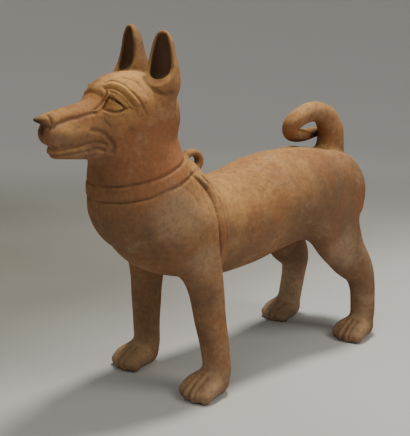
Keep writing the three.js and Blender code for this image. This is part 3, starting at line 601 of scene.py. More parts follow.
class DogField:
    """The whole form of the dog as one field."""

    def __init__(self, sizes):
        self.sizes = sizes
        self.torso = Limb(TORSO, 50)
        self.neck = Limb(NECK, 50)
        self.head = [(Limb(rows, 30), blend) for rows, blend in HEAD_FORMS]
        self.legs = make_legs()
        self.tail = [(Limb(TAIL_STEM, 20), TAIL_STEM_BLEND), (Limb(TAIL_CURL, 10), TAIL_CURL_BLEND)]
        self.ears = [make_ear(1), make_ear(-1)]
        self.collar_edges = [SideLine(COLLAR_UPPER), SideLine(COLLAR_LOWER)]
        self.girth_edges = [SideLine(GIRTH_FRONT), SideLine(GIRTH_BACK)]
        middle = [((a[0] + b[0]) / 2, (a[1] + b[1]) / 2) for a, b in zip(GIRTH_FRONT, GIRTH_BACK)]
        self.girth_middle = SideLine(middle)
        self.crease = SideLine(SHOULDER_CREASE)

    def harness(self, x, y, z, on_body):
        """Change of the field for the collar, the girth band, the crease and the chest's seam."""
        sizes = self.sizes
        top = np.interp(y, *np.array(COLLAR_UPPER).T)
        bottom = np.interp(y, *np.array(COLLAR_LOWER).T)
        on_collar = step(top - z, 1.2) * step(z - bottom, 1.2) * step(-54 - y, 4)
        change = -sizes.collar_raise / MM * on_collar
        for edge, (depth, width) in zip(self.collar_edges, (COLLAR_UPPER_GROOVE, COLLAR_LOWER_GROOVE)):
            change += depth * bump(edge(y, z), width)
        change -= sizes.girth_raise / MM * bump(self.girth_middle(y, z), GIRTH_HALF_WIDTH) * on_body
        depth, width = GIRTH_FRONT_GROOVE
        deeper = depth + GIRTH_FRONT_EXTRA * step(365 - z, 8)
        change += deeper * bump(self.girth_edges[0](y, z), width) * on_body
        depth, width = GIRTH_BACK_GROOVE
        change += depth * bump(self.girth_edges[1](y, z), width) * on_body
        depth, width = CREASE_GROOVE
        change += depth * bump(self.crease(y, z), width)
        on_chest = (y < -90) & (z < bottom)
        return change + sizes.seam_depth / MM * bump(x, sizes.seam_width / MM) * on_chest

    def eyes(self, x, y, z):
        """Change of the field for the eyes: a socket with a rim and a crowned ball in it."""
        outside = eye_opening(y, z)
        aside = (y - EYE_MIDDLE[0]) / EYE_CROWN_REACH[0]
        above = (z - EYE_MIDDLE[1]) / EYE_CROWN_REACH[1]
        change = SOCKET_DEPTH * step(-outside, 0.45)
        change -= BALL_RISE * step(-outside - BALL_INSET, 0.6)
        change -= CROWN_RISE * np.maximum(1 - (aside ** 2 + above ** 2), 0)
        return change * step(x - 8, 2.5)

    def head_and_body(self, mirrored, body):
        """The body with the head's forms joined to it, which lie well above the chest."""
        distance = body.copy()
        high = mirrored[:, 2] > HEAD_FOOT
        if high.any():
            upper = mirrored[high]
            head = self.head[0][0](upper)
            for form, blend in self.head[1:]:
                head = join(head, form(upper), blend)
            distance[high] = join(distance[high], head, HEAD_BLEND)
        return distance

    def work_surface(self, distance, body, x, y, z):
        """Works the harness and the eyes into the clay near its surface."""
        near = np.abs(distance) < 12
        chosen = near & (y < -20) & (z < 425) & (z > 150)
        if chosen.any():
            clear_of_legs = step(distance[chosen] - body[chosen] + 2, 1)
            on_body = np.maximum(step(z[chosen] - 236, 5), clear_of_legs) * step(385 - z[chosen], 3)
            distance[chosen] += self.harness(x[chosen], y[chosen], z[chosen], on_body)
        chosen = near & (y < -215) & (z > 470) & (z < 520)
        if chosen.any():
            distance[chosen] += self.eyes(x[chosen], y[chosen], z[chosen])

    def __call__(self, p):
        mirrored = p.copy()
        mirrored[:, 0] = np.abs(p[:, 0])
        body = join(self.torso(mirrored), self.neck(mirrored), NECK_BLEND)
        distance = self.head_and_body(mirrored, body)
        for form, blend in self.legs:
            distance = join(distance, form(p), blend)
        self.work_surface(distance, body, *mirrored.T)
        for form, blend in self.tail:
            distance = join(distance, form(p), blend)
        distance = join(distance, lead_ring(p), RING_BLEND)
        for leaf, _ in self.ears:
            distance = join(distance, leaf(p), EAR_BLEND)
        for _, hollow in self.ears:
            distance = cut(distance, hollow(p), HOLLOW_EDGE)
        return cut(distance, p[:, 2], SOLE_EDGE)


# Mesh from the field

def evaluate(field, points):
    """Field values of many points, shared out in small lots."""
    lots = np.array_split(points, max(len(points) // 12000, 1))
    with ThreadPoolExecutor(4) as pool:
        return np.concatenate(list(pool.map(field, lots)))


def grid_lines(start, end, coarse, zones):
    """Places of the grid along one axis, closer together in the zones (from, to, cell)."""
    lines = [start + 0.013]
    while lines[-1] < end:
        cell = min([size for low, high, size in zones if low < lines[-1] < high], default=coarse)
        lines.append(lines[-1] + cell)
    return np.array(lines)


def sample_blocks(field, lines, block=8):
    """Field values on the grid, skipping blocks that lie well away from the surface."""
    counts = [len(axis) for axis in lines]
    starts = [np.arange(0, n - 1, block) for n in counts]
    ends = [np.minimum(s + block, n - 1) for s, n in zip(starts, counts)]
    centres = [(axis[s] + axis[e]) / 2 for axis, s, e in zip(lines, starts, ends)]
    halves = [(axis[e] - axis[s]) / 2 for axis, s, e in zip(lines, starts, ends)]
    points = np.stack(np.meshgrid(*centres, indexing="ij"), -1).reshape(-1, 3)
    reach = np.linalg.norm(np.stack(np.meshgrid(*halves, indexing="ij"), -1), axis=-1).ravel()
    value = evaluate(field, points)
    needed = np.zeros(counts, bool)
    values = np.ones(counts, np.float32)
    shape = [len(s) for s in starts]
    for n in range(len(value)):
        where = np.unravel_index(n, shape)
        cells = tuple(slice(s[i], e[i] + 1) for s, e, i in zip(starts, ends, where))
        if abs(value[n]) < reach[n] * 1.25 + 6:
            needed[cells] = True
        elif value[n] < 0:
            values[cells] = -1
    index = np.nonzero(needed)
    points = np.stack([axis[i] for axis, i in zip(lines, index)], -1)
    values[index] = evaluate(field, points)
    return values


def surface_quads(values, lines):
    """One point in each cell that the surface crosses, and a quad round each crossed edge."""
    inside = values < 0
    shape = [n - 1 for n in values.shape]
    corners = [(a, b, c) for a in (0, 1) for b in (0, 1) for c in (0, 1)]
    count = np.zeros(shape, np.int8)
    for a, b, c in corners:
        count += inside[a:a + shape[0], b:b + shape[1], c:c + shape[2]]
    crossed = (count > 0) & (count < 8)
    cells = np.stack(np.nonzero(crossed), -1)
    number = np.full(shape, -1, np.int64)
    number[crossed] = np.arange(len(cells))
    total = np.zeros((len(cells), 3))
    hits = np.zeros(len(cells))
    for corner in corners:
        for axis in range(3):
            if corner[axis]:
                continue
            first = cells + corner
            second = first.copy()
            second[:, axis] += 1
            value = values[tuple(first.T)]
            next_value = values[tuple(second.T)]
            hit = (value < 0) != (next_value < 0)
            t = np.where(hit, value / np.where(hit, value - next_value, 1), 0)
            place = np.stack([lines[n][first[:, n]] for n in range(3)], -1)
            next_place = np.stack([lines[n][second[:, n]] for n in range(3)], -1)
            total += np.where(hit[:, None], place + (next_place - place) * t[:, None], 0)
            hits += hit
    points = total / hits[:, None]
    quads = []
    for axis in range(3):
        across, up = [(1, 2), (2, 0), (0, 1)][axis]
        before = np.take(inside, range(inside.shape[axis] - 1), axis)
        after = np.take(inside, range(1, inside.shape[axis]), axis)
        edges = np.stack(np.nonzero(before != after), -1)
        leaves = before[tuple(edges.T)]
        ring = []
        for shift_across, shift_up in ((-1, -1), (0, -1), (0, 0), (-1, 0)):
            cell = edges.copy()
            cell[:, across] += shift_across
            cell[:, up] += shift_up
            ring.append(number[tuple(cell.T)])
        ring = np.stack(ring, -1)
        quads.append(np.where(leaves[:, None], ring, ring[:, ::-1]))
    return points, np.vstack(quads)


def slope(field, points, reach=0.4):
    """Direction in which the field grows fastest, by central differences."""
    columns = []
    for axis in range(3):
        offset = np.zeros(3)
        offset[axis] = reach
        change = evaluate(field, points + offset) - evaluate(field, points - offset)
        columns.append(change / (2 * reach))
    return np.stack(columns, -1)


def settle(field, points, cell):
    """Moves the points on to the surface of the field and returns them with their normals."""
    for _ in range(2):
        grade = slope(field, points)
        square = np.maximum((grade ** 2).sum(axis=1), 0.05)
        move = evaluate(field, points)[:, None] * grade / square[:, None]
        size = np.linalg.norm(move, axis=1)[:, None]
        points = points - move * np.minimum(1, 0.5 * cell / np.maximum(size, 1e-9))
    grade = slope(field, points)
    return points, grade / np.maximum(np.linalg.norm(grade, axis=1)[:, None], 1e-9)


def openness(field, points, normals):
    """How open the surface is to the air: 1 in the open, towards 0 deep in a hollow."""
    shut = np.zeros(len(points))
    for reach, weight in ((3, 0.3), (8, 0.3), (18, 0.25), (36, 0.15)):
        free = np.clip(evaluate(field, points + normals * reach) / reach, 0, 1)
        shut += weight * (1 - free)
    return 1 - shut


def frame_fit(points):
    """Scale and offset that take points in millimetres to the node's own box in the frame."""
    low, high = (np.array(corner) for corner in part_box(NODE))
    own_low = points.min(axis=0)
    scale = (high - low) / (points.max(axis=0) - own_low)
    return scale, low - own_low * scale


def dog_surface(sizes):
    """Points in millimetres, quads, and how shut in each point is, which sets the painted shade and dirt of
    the clay.
    """
    field = DogField(sizes)
    coarse = sizes.body_cell / MM
    fine = sizes.head_cell / MM
    lines = []
    for start, end, zones in GRID:
        cells = [(low, high, fine * share) for low, high, share in zones]
        lines.append(grid_lines(start, end, coarse, cells))
    values = sample_blocks(field, lines)
    points, quads = surface_quads(values, lines)
    points, normals = settle(field, points, fine)
    points[:, 2] = np.where(points[:, 2] < 0.3, 0, points[:, 2])
    # How shut in each point is becomes painted shade and dirt in the clay's colour, with more in the ears'
    # hollows
    shut = 1 - openness(field, points, normals)
    for _, hollow in field.ears:
        shut = np.maximum(shut, EAR_SHADE_AND_DIRT * step(1.2 - np.abs(hollow(points)), 0.4))
    return points, quads, shut


def clay_mesh(points, quads, shut):
    """A smooth mesh that carries how shut in each point is, for the clay's painted shade and dirt."""
    mesh = bpy.data.meshes.new("dog_clay")
    mesh.from_pydata(points.tolist(), [], quads.tolist())
    mesh.validate()
    mesh.polygons.foreach_set("use_smooth", [True] * len(mesh.polygons))
    # The attribute hollow carries the painted shade and dirt for the clay's colour
    attribute = mesh.attributes.new("hollow", "FLOAT", "POINT")
    attribute.data.foreach_set("value", shut.astype(np.float32))
    mesh.update()
    return mesh


# Lines and knocks in the clay, made by node trees

def toe_lines():
    """A groove between each two toes of the four paws."""
    lines = []
    for side in (1, -1):
        front = (FRONT_ANKLES[side][0] + FRONT_PAW_SHIFT, FRONT_ANKLES[side][1])
        hind = (HIND_ANKLES[side][0], HIND_ANKLES[side][1] + HIND_PAW_SHIFT)
        for x, y in (front, hind):
            for gap in TOE_GAPS:
                lines.append([(x + gap * share, y + forward, z) for share, forward, z in TOE_GROOVE_PATH])
    return lines


def side_lines(surface, lines):
    """Lines given as y and z in the side view, laid on the clay of the left side."""
    laid = []
    inward = Vector((-1, 0, 0))
    for line in lines:
        hits = [surface.ray_cast(Vector((200, y, z)), inward)[0] for y, z in through(line, 10)]
        laid.append([tuple(hit) for hit in hits if hit is not None and hit.x > 0])
    return laid


def over_nape(lines):
    """Lines that run from the nape to the front, each joined to its mirror image over the nape."""
    return [[(-x, y, z) for x, y, z in reversed(line)] + line for line in lines]


def both_sides(lines):
    """The lines and their mirror images, which start a point later, and two points above the eyes."""
    mirrored = []
    for line in lines:
        start = 2 if line[0][2] > 515 else 1
        mirrored.append([(-x, y, z) for x, y, z in line[start:]])
    return lines + mirrored


def drawn_lines(name, lines, surface, scale, offset):
    """A curve object with each line laid on the surface of the clay."""
    curve = bpy.data.curves.new(name, "CURVE")
    curve.dimensions = "3D"
    for line in lines:
        laid = [surface.find_nearest(Vector(point))[0] for point in through(line, 3)]
        spline = curve.splines.new("POLY")
        spline.points.add(len(laid) - 1)
        for target, place in zip(spline.points, laid):
            target.co = (*(np.array(place) * scale + offset), 1)
    item = bpy.data.objects.new(name, curve)
    bpy.context.scene.collection.objects.link(item)
    return item


def new_tree(name, inputs):
    """A geometry tree with the named inputs after the geometry, and its node maker."""
    tree = bpy.data.node_groups.new(name, "GeometryNodeTree")
    tree.interface.new_socket("Geometry", in_out="INPUT", socket_type="NodeSocketGeometry")
    for label, kind in inputs:
        tree.interface.new_socket(label, in_out="INPUT", socket_type=kind)
    tree.interface.new_socket("Geometry", in_out="OUTPUT", socket_type="NodeSocketGeometry")
    maker = NodeMaker(tree)
    return tree, maker, maker.add("NodeGroupInput").outputs


def soft_edge(maker, distance, width):
    """One on the spot, falling softly to nothing beyond the width."""
    share = maths(maker, "DIVIDE", distance, width)
    square = maths(maker, "MULTIPLY", share, share)
    return maths(maker, "EXPONENT", maths(maker, "MULTIPLY", square, -1.0))


def push_in(maker, geometry, amount):
    """Moves each point against its normal by the amount."""
    back = maths(maker, "MULTIPLY", amount, -1.0)
    normal = maker.add("GeometryNodeInputNormal").outputs["Normal"]
    offset = maker.add("ShaderNodeVectorMath", [(0, normal), ("Scale", back)], operation="SCALE").outputs[0]
    return maker.add("GeometryNodeSetPosition", [("Geometry", geometry), ("Offset", offset)]).outputs[0]


def close_tree(maker, geometry, material):
    """Ends a tree with real geometry in the given material."""
    real = maker.add("GeometryNodeRealizeInstances", [("Geometry", geometry)]).outputs[0]
    done = maker.add("GeometryNodeSetMaterial", [("Geometry", real), ("Material", material)]).outputs[0]
    maker.add("NodeGroupOutput", [("Geometry", done)])


def line_tree():
    """Tree that presses the clay in, or raises it, along the lines of another object."""
    tree, maker, given = new_tree("Worked lines", [
        ("Lines", "NodeSocketObject"), ("Depth", "NodeSocketFloat"), ("Width", "NodeSocketFloat"),
        ("Shade and dirt", "NodeSocketFloat"), ("Clay", "NodeSocketMaterial")])
    lines = maker.add("GeometryNodeObjectInfo", [("Object", given["Lines"])])
    edges = maker.add("GeometryNodeCurveToMesh", [("Curve", lines.outputs["Geometry"])]).outputs[0]
    distance = maker.add("GeometryNodeProximity", [(0, edges)], target_element="EDGES").outputs["Distance"]
    near = soft_edge(maker, distance, given["Width"])
    amount = maths(maker, "MULTIPLY", near, given["Depth"])
    moved = push_in(maker, given["Geometry"], amount)
    # Keeps each line's share of painted shade and dirt for the clay's colour
    before = maker.add(
        "GeometryNodeInputNamedAttribute", [("Name", "pressed")], data_type="FLOAT").outputs[0]
    total = maths(maker, "ADD", before, maths(maker, "MULTIPLY", near, given["Shade and dirt"]))
    stored = maker.add("GeometryNodeStoreNamedAttribute", [
        ("Geometry", moved), ("Name", "pressed"), ("Value", total)], data_type="FLOAT", domain="POINT")
    close_tree(maker, stored.outputs[0], given["Clay"])
    return tree


def knock_tree():
    """Tree that dents the clay softly at scattered spots, as hands leave it."""
    tree, maker, given = new_tree("Hand marks", [
        ("Density", "NodeSocketFloat"), ("Depth", "NodeSocketFloat"), ("Width", "NodeSocketFloat"),
        ("Seed", "NodeSocketInt"), ("Clay", "NodeSocketMaterial")])
    spots = maker.add("GeometryNodeDistributePointsOnFaces", [
        ("Mesh", given["Geometry"]), ("Density", given["Density"]), ("Seed", given["Seed"])]).outputs[0]
    distance = maker.add("GeometryNodeProximity", [(0, spots)], target_element="POINTS").outputs["Distance"]
    near = soft_edge(maker, distance, given["Width"])
    position = maker.add("GeometryNodeInputPosition").outputs[0]
    height = maker.add("ShaderNodeSeparateXYZ", [("Vector", position)]).outputs["Z"]
    depth = maths(maker, "MULTIPLY", ramp(maker, height, 0.01, 0.05), given["Depth"])
    amount = maths(maker, "MULTIPLY", near, depth)
    close_tree(maker, push_in(maker, given["Geometry"], amount), given["Clay"])
    return tree


def add_modifier(item, tree, values):
    """Adds the tree to the object, with the values for its named inputs."""
    modifier = item.modifiers.new(tree.name, "NODES")
    modifier.node_group = tree
    for socket in tree.interface.items_tree:
        if socket.name in values and socket.in_out == "INPUT":
            modifier[socket.identifier] = values[socket.name]


def line_groups(surface):
    """All worked lines, as groups with their depth, half width and points."""
    groups = [(depth, width, both_sides(lines)) for depth, width, lines in WORKED_LINES]
    groups.append((*TOE_GROOVE, toe_lines()))
    collar_upper = over_nape(side_lines(surface, [COLLAR_UPPER[::-1]]))
    collar_lower = both_sides(side_lines(surface, [COLLAR_LOWER]))
    girth = both_sides(side_lines(surface, [GIRTH_FRONT[1:-1], GIRTH_BACK[1:-2]]))
    groups.append((*HARNESS_GROOVE, collar_upper + collar_lower + girth))
    return groups


def worked_clay(rough, material, finish, surface, scale, offset):
    """The rough object's mesh with its worked lines and hand marks, as a plain mesh."""
    tree = line_tree()
    drawn = []
    for number, (depth, width, lines) in enumerate(line_groups(surface)):
        drawn.append(drawn_lines(f"worked_lines_{number}", lines, surface, scale, offset))
        # Deeper grooves get more painted shade and dirt
        add_modifier(rough, tree, {
            "Lines": drawn[-1], "Depth": depth * MM, "Width": width * MM,
            "Shade and dirt": 0.45 + 0.25 * depth, "Clay": material})
    count = sum(len(polygon.vertices) - 2 for polygon in rough.data.polygons)
    lighter = rough.modifiers.new("Lighter mesh", "DECIMATE")
    lighter.ratio = min(TRIANGLES / count, 1)
    add_modifier(rough, knock_tree(), {
        "Density": HAND_MARK_DENSITY, "Depth": finish.knock_depth, "Width": finish.knock_width,
        "Seed": finish.seed, "Clay": material})
    bpy.context.view_layer.update()
    ready = rough.evaluated_get(bpy.context.evaluated_depsgraph_get())
    mesh = bpy.data.meshes.new_from_object(ready)
    rough.modifiers.clear()
    for item in drawn:
        bpy.data.objects.remove(item)
    return mesh


# Materials

class NodeMaker:
    """Adds nodes to a tree from left to right and links them."""

    def __init__(self, tree):
        self.tree = tree
        self.column = 0

    def add(self, kind, links=(), **values):
        node = self.tree.nodes.new(kind)
        self.column += 1
        node.location = (self.column * 180, -(self.column % 5) * 160)
        for name, value in values.items():
            setattr(node, name, value)
        for target, source in links:
            socket = node.inputs[target]
            if isinstance(source, bpy.types.NodeSocket):
                self.tree.links.new(source, socket)
            else:
                socket.default_value = source
        return node


def colour(values):
    return (*values, 1.0)


def blend_colours(maker, factor, first, second):
    """The first colour, turning into the second as the factor goes from 0 to 1."""
    node = maker.add("ShaderNodeMix", [(0, factor), (6, first), (7, second)], data_type="RGBA")
    return node.outputs[2]


def ramp(maker, value, low, high, start=0.0, end=1.0):
    """A smooth change from start to end while the value goes from low to high."""
    node = maker.add("ShaderNodeMapRange", [
        ("Value", value), ("From Min", low), ("From Max", high), ("To Min", start), ("To Max", end)],
        interpolation_type="SMOOTHSTEP")
    return node.outputs["Result"]


def maths(maker, operation, *values):
    return maker.add("ShaderNodeMath", list(enumerate(values)), operation=operation).outputs[0]


def noise(maker, position, scale, detail, roughness=0.55, distortion=0.0):
    return maker.add("ShaderNodeTexNoise", [
        ("Vector", position), ("Scale", scale), ("Detail", detail), ("Roughness", roughness),
        ("Distortion", distortion)]).outputs["Fac"]


def ragged(maker, position, scale, reach):
    """The position moved a little by a noise, so that patches get uneven edges."""
    jitter = maker.add("ShaderNodeTexNoise", [("Vector", position), ("Scale", scale), ("Detail", 4.0)])
    centred = maker.add("ShaderNodeVectorMath", [(0, jitter.outputs["Color"]), (1, (0.5, 0.5, 0.5))],
                        operation="SUBTRACT").outputs[0]
    moved = maker.add("ShaderNodeVectorMath", [(0, centred), (1, (reach, reach, reach)), (2, position)],
                      operation="MULTIPLY_ADD")
    return moved.outputs[0]


def patches(maker, position, rows):
    """The strongest of the patches in the rows, each falling softly to nothing at its outer reach."""
    strongest = 0.0
    for middle, inner, outer, share in rows:
        away = maker.add("ShaderNodeVectorMath", [(0, position), (1, middle)],
                         operation="DISTANCE").outputs["Value"]
        strongest = maths(maker, "MAXIMUM", strongest, ramp(maker, away, outer, inner, 0.0, share))
    return strongest


def fired_clay(maker, finish, position, upward, patch):
    """Clouded orange brown, paler on the upper sides with painted light from above and burnish, darker behind
    and below.
    """
    cloud = noise(maker, position, 6.0, 4.0, 0.6, 0.5)
    tone = blend_colours(maker, ramp(maker, cloud, 0.42, 0.68, 0.0, 0.5),
                         colour(finish.clay_middle), colour(finish.clay_dark))
    # Painted light from above: upward faces turn pale, with burnish where the patch noise leaves it
    kept = ramp(maker, patch, 0.3, 0.66, 1.0, 0.5)
    lit_top_and_burnish = maths(maker, "MULTIPLY", ramp(maker, upward, -0.2, 0.65), kept)
    tone = blend_colours(maker, lit_top_and_burnish, tone, colour(finish.clay_light))
    place = maker.add("ShaderNodeSeparateXYZ", [("Vector", position)])
    behind = maths(maker, "MULTIPLY", ramp(maker, place.outputs["Y"], 0.08, 0.23, 0.0, 0.68),
                   ramp(maker, place.outputs["Z"], 0.42, 0.34))
    darker = maths(maker, "MAXIMUM", behind, ramp(maker, place.outputs["Z"], 0.3, 0.1, 0.0, 0.35))
    return blend_colours(maker, darker, tone, colour(finish.clay_dark))


def patched_clay(maker, finish, position, patch, tone):
    """The larger patches: sooty stains with painted shade, paler burnish with painted light, blushes of the
    fire, and a dusty film with painted light on the right hind paw.
    """
    uneven = ragged(maker, position, 30.0, 0.05)
    blotch = ramp(maker, noise(maker, position, 46.0, 5.0, 0.65), 0.47, 0.68, 0.0, 0.5)
    # Random blotches and the listed patches: stains, partly painted shade
    soot_and_shade = maths(maker, "ADD", blotch, patches(maker, uneven, SOOT_AND_SHADE_PATCHES))
    tone = blend_colours(maker, soot_and_shade, tone, colour(finish.clay_dark))
    # Paler patches: painted light with burnish on the forehead
    kept = ramp(maker, patch, 0.3, 0.66, 1.0, 0.85)
    pale = maths(maker, "MULTIPLY", patches(maker, uneven, PALE_AND_LIT_PATCHES), kept)
    tone = blend_colours(maker, pale, tone, colour(finish.clay_light))
    fire = ramp(maker, noise(maker, position, 8.5, 3.0, 0.5, 0.8), 0.5, 0.68, 0.0, 0.6)
    glow = maths(maker, "MAXIMUM", patches(maker, uneven, RED_PATCHES), fire)
    tone = blend_colours(maker, glow, tone, colour(finish.clay_red))
    # Dusty film and patches, with painted light on the right hind paw
    film = ramp(maker, noise(maker, position, 13.0, 5.0, 0.7, 0.4), 0.52, 0.66, 0.0, 0.28)
    dust_and_painted_light = maths(maker, "MAXIMUM", film, patches(maker, uneven, DUST_AND_LIGHT_PATCHES))
    return blend_colours(maker, dust_and_painted_light, tone, colour(finish.dust_and_painted_light))


def dirty_shaded_clay(maker, finish, mottle, hollow, pressed, tone):
    """Fine mottling, and dirt with painted shade in the grooves and hollows."""
    tone = blend_colours(maker, ramp(maker, mottle, 0.46, 0.68, 0.0, 0.5), tone, colour(finish.clay_dark))
    tone = blend_colours(maker, ramp(maker, mottle, 0.48, 0.3, 0.0, 0.2), tone, colour(finish.dust_and_painted_light))
    # Painted shade and dirt: darker in the grooves and hollows, darkest in their cores
    groove = maths(maker, "MAXIMUM", ramp(maker, hollow, 0.25, 0.62, 0.0, 0.8),
                   ramp(maker, pressed, 0.1, 0.8, 0.0, 0.75))
    tone = blend_colours(maker, groove, tone, colour(finish.clay_dark))
    core = maths(maker, "MAXIMUM", ramp(maker, hollow, 0.62, 0.85),
                 ramp(maker, pressed, 0.5, 1.1, 0.0, 0.7))
    return blend_colours(maker, core, tone, colour(finish.dirt_and_shade_colour))


def clay_material(finish):
    """Unglazed fired clay: mottled orange brown, pale on top with painted light and burnish, dirty and with
    painted shade in its hollows.
    """
    material = bpy.data.materials.new("fired_clay")
    material.use_nodes = True
    tree = material.node_tree
    tree.nodes.clear()
    maker = NodeMaker(tree)
    place = maker.add("ShaderNodeTexCoord")
    position = place.outputs["Object"]
    upward = maker.add("ShaderNodeSeparateXYZ", [("Vector", place.outputs["Normal"])]).outputs["Z"]
    # hollow and pressed carry the painted shade and dirt of the hollows and grooves
    hollow = maker.add("ShaderNodeAttribute", attribute_name="hollow").outputs["Fac"]
    pressed = maker.add("ShaderNodeAttribute", attribute_name="pressed").outputs["Fac"]
    patch = noise(maker, position, 19.0, 6.0, 0.65, 0.3)
    mottle = noise(maker, position, 120.0, 5.0, 0.7)
    grain = noise(maker, position, 430.0, 3.0, 0.6)
    tone = fired_clay(maker, finish, position, upward, patch)
    tone = patched_clay(maker, finish, position, patch, tone)
    tone = blend_colours(maker, patches(maker, position, NOSE_SOOT), tone, colour(finish.dirt_and_shade_colour))
    tone = dirty_shaded_clay(maker, finish, mottle, hollow, pressed, tone)
    height = maths(maker, "MULTIPLY_ADD", mottle, 0.5, grain)
    relief = maker.add("ShaderNodeBump", [("Strength", 0.5), ("Distance", 0.0014), ("Height", height)])
    rough = ramp(maker, patch, 0.3, 0.7, finish.roughness - 0.12, finish.roughness + 0.15)
    shader = maker.add("ShaderNodeBsdfPrincipled", [
        ("Base Color", tone), ("Roughness", rough), ("Normal", relief.outputs["Normal"]),
        ("Specular IOR Level", 0.08)])
    maker.add("ShaderNodeOutputMaterial", [("Surface", shader.outputs["BSDF"])])
    return material


def floor_material(setup):
    """Matt studio paper, pale under the dog, with painted shade making it darker beyond its right side."""
    material = bpy.data.materials.new("studio_paper")
    material.use_nodes = True
    tree = material.node_tree
    shader = tree.nodes["Principled BSDF"]
    maker = NodeMaker(tree)
    position = maker.add("ShaderNodeTexCoord").outputs["Object"]
    place = maker.add("ShaderNodeSeparateXYZ", [("Vector", position)])
    uneven = ramp(maker, noise(maker, position, 1.2, 2.0, 0.5), 0.3, 0.7, 0.0, 0.12)
    # Painted shade: darker beyond the dog's right side, more so towards the dog's front, with a little uneven
    # tone
    beyond = ramp(maker, place.outputs["X"], 0.0, -0.6)
    nearer = ramp(maker, place.outputs["Y"], 1.6, -0.4, 0.45, 1.0)
    shade = maths(maker, "MULTIPLY_ADD", beyond, nearer, uneven)
    tone = blend_colours(maker, shade, colour(setup.floor_colour), colour(setup.far_shade_colour))
    away = maker.add("ShaderNodeVectorMath", [(0, position)], operation="LENGTH").outputs["Value"]
    rising = ramp(maker, away, FLOOR_REACH / 2, FLOOR_REACH)
    tone = blend_colours(maker, rising, tone, colour(setup.wall_colour))
    tree.links.new(tone, shader.inputs["Base Color"])
    shader.inputs["Roughness"].default_value = 0.9
    return material


def new_object(name, mesh, material):
    """An object in the scene whose mesh has the one material."""
    item = bpy.data.objects.new(name, mesh)
    mesh.materials.clear()
    mesh.materials.append(material)
    bpy.context.scene.collection.objects.link(item)
    return item


# Floor, lights and camera

def lay_floor(setup):
    """A round floor that curves up into a low wall all round."""
    profile = [(FLOOR_REACH, 0.0)]
    for n in range(1, CURVE_STEPS + 1):
        angle = math.radians(90 * n / CURVE_STEPS)
        outward = FLOOR_REACH + FLOOR_CURVE * math.sin(angle)
        profile.append((outward, FLOOR_CURVE * (1 - math.cos(angle))))
    profile.append((FLOOR_REACH + FLOOR_CURVE, WALL_TOP))
    points = [(0.0, 0.0, 0.0)]
    for r, z in profile:
        for n in range(FLOOR_TURNS):
            angle = 2 * math.pi * n / FLOOR_TURNS
            points.append((r * math.cos(angle), r * math.sin(angle), z))
    faces = [(0, 1 + n, 1 + (n + 1) % FLOOR_TURNS) for n in range(FLOOR_TURNS)]
    for row in range(len(profile) - 1):
        for n in range(FLOOR_TURNS):
            a = 1 + row * FLOOR_TURNS + n
            b = 1 + row * FLOOR_TURNS + (n + 1) % FLOOR_TURNS
            faces.append((a, a + FLOOR_TURNS, b + FLOOR_TURNS, b))
    mesh = bpy.data.meshes.new("studio_floor")
    mesh.from_pydata(points, [], faces)
    mesh.polygons.foreach_set("use_smooth", [True] * len(mesh.polygons))
    floor = new_object("studio_floor", mesh, floor_material(setup))


def area_light(name, place, target, size, power, tint):
    """A round soft light at a place, turned to its target."""
    data = bpy.data.lights.new(name, "AREA")
    data.shape = "DISK"
    data.size = size
    data.energy = power
    data.color = tint
    item = bpy.data.objects.new(name, data)
    item.location = place
    direction = Vector(target) - Vector(place)
    item.rotation_euler = direction.to_track_quat("-Z", "Y").to_euler()
    bpy.context.scene.collection.objects.link(item)


def place_lights(setup):
    """A key light nearly overhead, a wide one on the dog's left, two weak ones and the room."""
    body = (0, 0, 0.3)
    face = (0, -0.2, 0.4)
    area_light("key_light", (-0.03, 0.4, 2.35), body, 0.35, setup.key_power, WARM_LIGHT)
    area_light("side_light", (1.8, 0.7, 2.0), body, 1.3, setup.side_power, WARM_LIGHT)
    area_light("front_light", (0.5, -1.3, 2.4), face, 0.9, setup.front_power, WARM_LIGHT)
    area_light("fill_light", (1.6, -1.9, 1.0), body, 1.6, setup.fill_power, SOFT_LIGHT)
    world = bpy.data.worlds.new("studio_room")
    world.use_nodes = True
    background = world.node_tree.nodes["Background"]
    background.inputs["Color"].default_value = colour(ROOM_COLOUR)
    background.inputs["Strength"].default_value = setup.sky_strength
    bpy.context.scene.world = world


def place_camera():
    """The camera at the photograph's angle, with the slight roll of the photograph."""
    turn = math.radians(CAMERA_TURN)
    rise = math.radians(CAMERA_RISE)
    roll = math.radians(CAMERA_ROLL)
    back = Vector((math.sin(turn) * math.cos(rise), -math.cos(turn) * math.cos(rise), math.sin(rise)))
    right = Vector((math.cos(turn), math.sin(turn), 0))
    up = back.cross(right)
    rolled = right * math.cos(roll) + up * math.sin(roll)
    upright = up * math.cos(roll) - right * math.sin(roll)
    data = bpy.data.cameras.new("photo_camera")
    data.sensor_fit = "HORIZONTAL"
    data.sensor_width = 36
    data.lens = CAMERA_LENS
    data.clip_end = 50
    camera = bpy.data.objects.new("photo_camera", data)
    turned = Matrix((rolled, upright, back)).transposed()
    place = Vector(CAMERA_TARGET) + back * CAMERA_DISTANCE
    camera.matrix_world = Matrix.Translation(place) @ turned.to_4x4()
    bpy.context.scene.collection.objects.link(camera)
    bpy.context.scene.camera = camera


# Operators, panel and registration

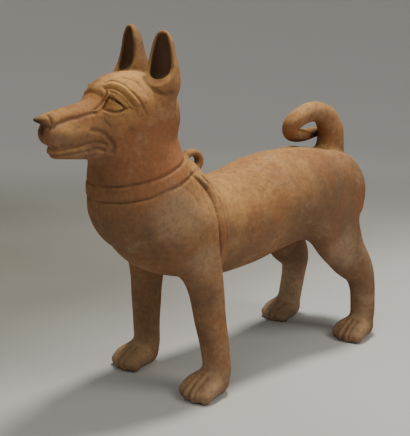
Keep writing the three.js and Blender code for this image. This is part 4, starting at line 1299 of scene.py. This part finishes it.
class DOG_OT_model_clay(Operator):
    """Model the clay dog with its harness, ring and curled tail as one piece."""
    bl_idname = "terracotta_dog.model_clay"
    bl_label = "Model Clay Dog"

    def execute(self, context):
        scene = context.scene
        finish = scene.clay_finish
        points, quads, shut = dog_surface(scene.dog_sizes)
        scale, offset = frame_fit(points)
        material = clay_material(finish)
        rough = new_object("rough_dog", clay_mesh(points * scale + offset, quads, shut), material)
        surface = BVHTree.FromPolygons(points.tolist(), quads.tolist())
        mesh = worked_clay(rough, material, finish, surface, scale, offset)
        bpy.data.objects.remove(rough)
        dog = new_object("clay_dog", mesh, material)
        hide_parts(NODE)
        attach(dog, "root")
        return {"FINISHED"}


class DOG_OT_set_stage(Operator):
    """Lay the floor, place the lights and set the camera."""
    bl_idname = "terracotta_dog.set_stage"
    bl_label = "Set Studio Stage"

    def execute(self, context):
        setup = context.scene.stage_setup
        lay_floor(setup)
        place_lights(setup)
        place_camera()
        return {"FINISHED"}


class DOG_PT_panel(Panel):
    """Buttons that model the dog and its stage."""
    bl_label = "Terracotta Dog"
    bl_idname = "DOG_PT_panel"
    bl_space_type = "VIEW_3D"
    bl_region_type = "UI"
    bl_category = "Terracotta Dog"

    def draw(self, context):
        for group in (context.scene.dog_sizes, context.scene.clay_finish, context.scene.stage_setup):
            column = self.layout.column()
            for name in group.__annotations__:
                column.prop(group, name)
        self.layout.operator("terracotta_dog.model_clay")
        self.layout.operator("terracotta_dog.set_stage")


CLASSES = (DogSizes, ClayFinish, StageSetup, DOG_OT_model_clay, DOG_OT_set_stage, DOG_PT_panel)


def register():
    """Registers the classes and puts their settings on the scene."""
    for item in CLASSES:
        bpy.utils.register_class(item)
    bpy.types.Scene.dog_sizes = PointerProperty(type=DogSizes)
    bpy.types.Scene.clay_finish = PointerProperty(type=ClayFinish)
    bpy.types.Scene.stage_setup = PointerProperty(type=StageSetup)


def unregister():
    """Takes everything away that register added."""
    del bpy.types.Scene.stage_setup
    del bpy.types.Scene.clay_finish
    del bpy.types.Scene.dog_sizes
    for item in reversed(CLASSES):
        bpy.utils.unregister_class(item)


def main():
    """Models the dog and its stage."""
    register()
    bpy.ops.terracotta_dog.model_clay()
    bpy.ops.terracotta_dog.set_stage()


if __name__ == "__main__":
    main()
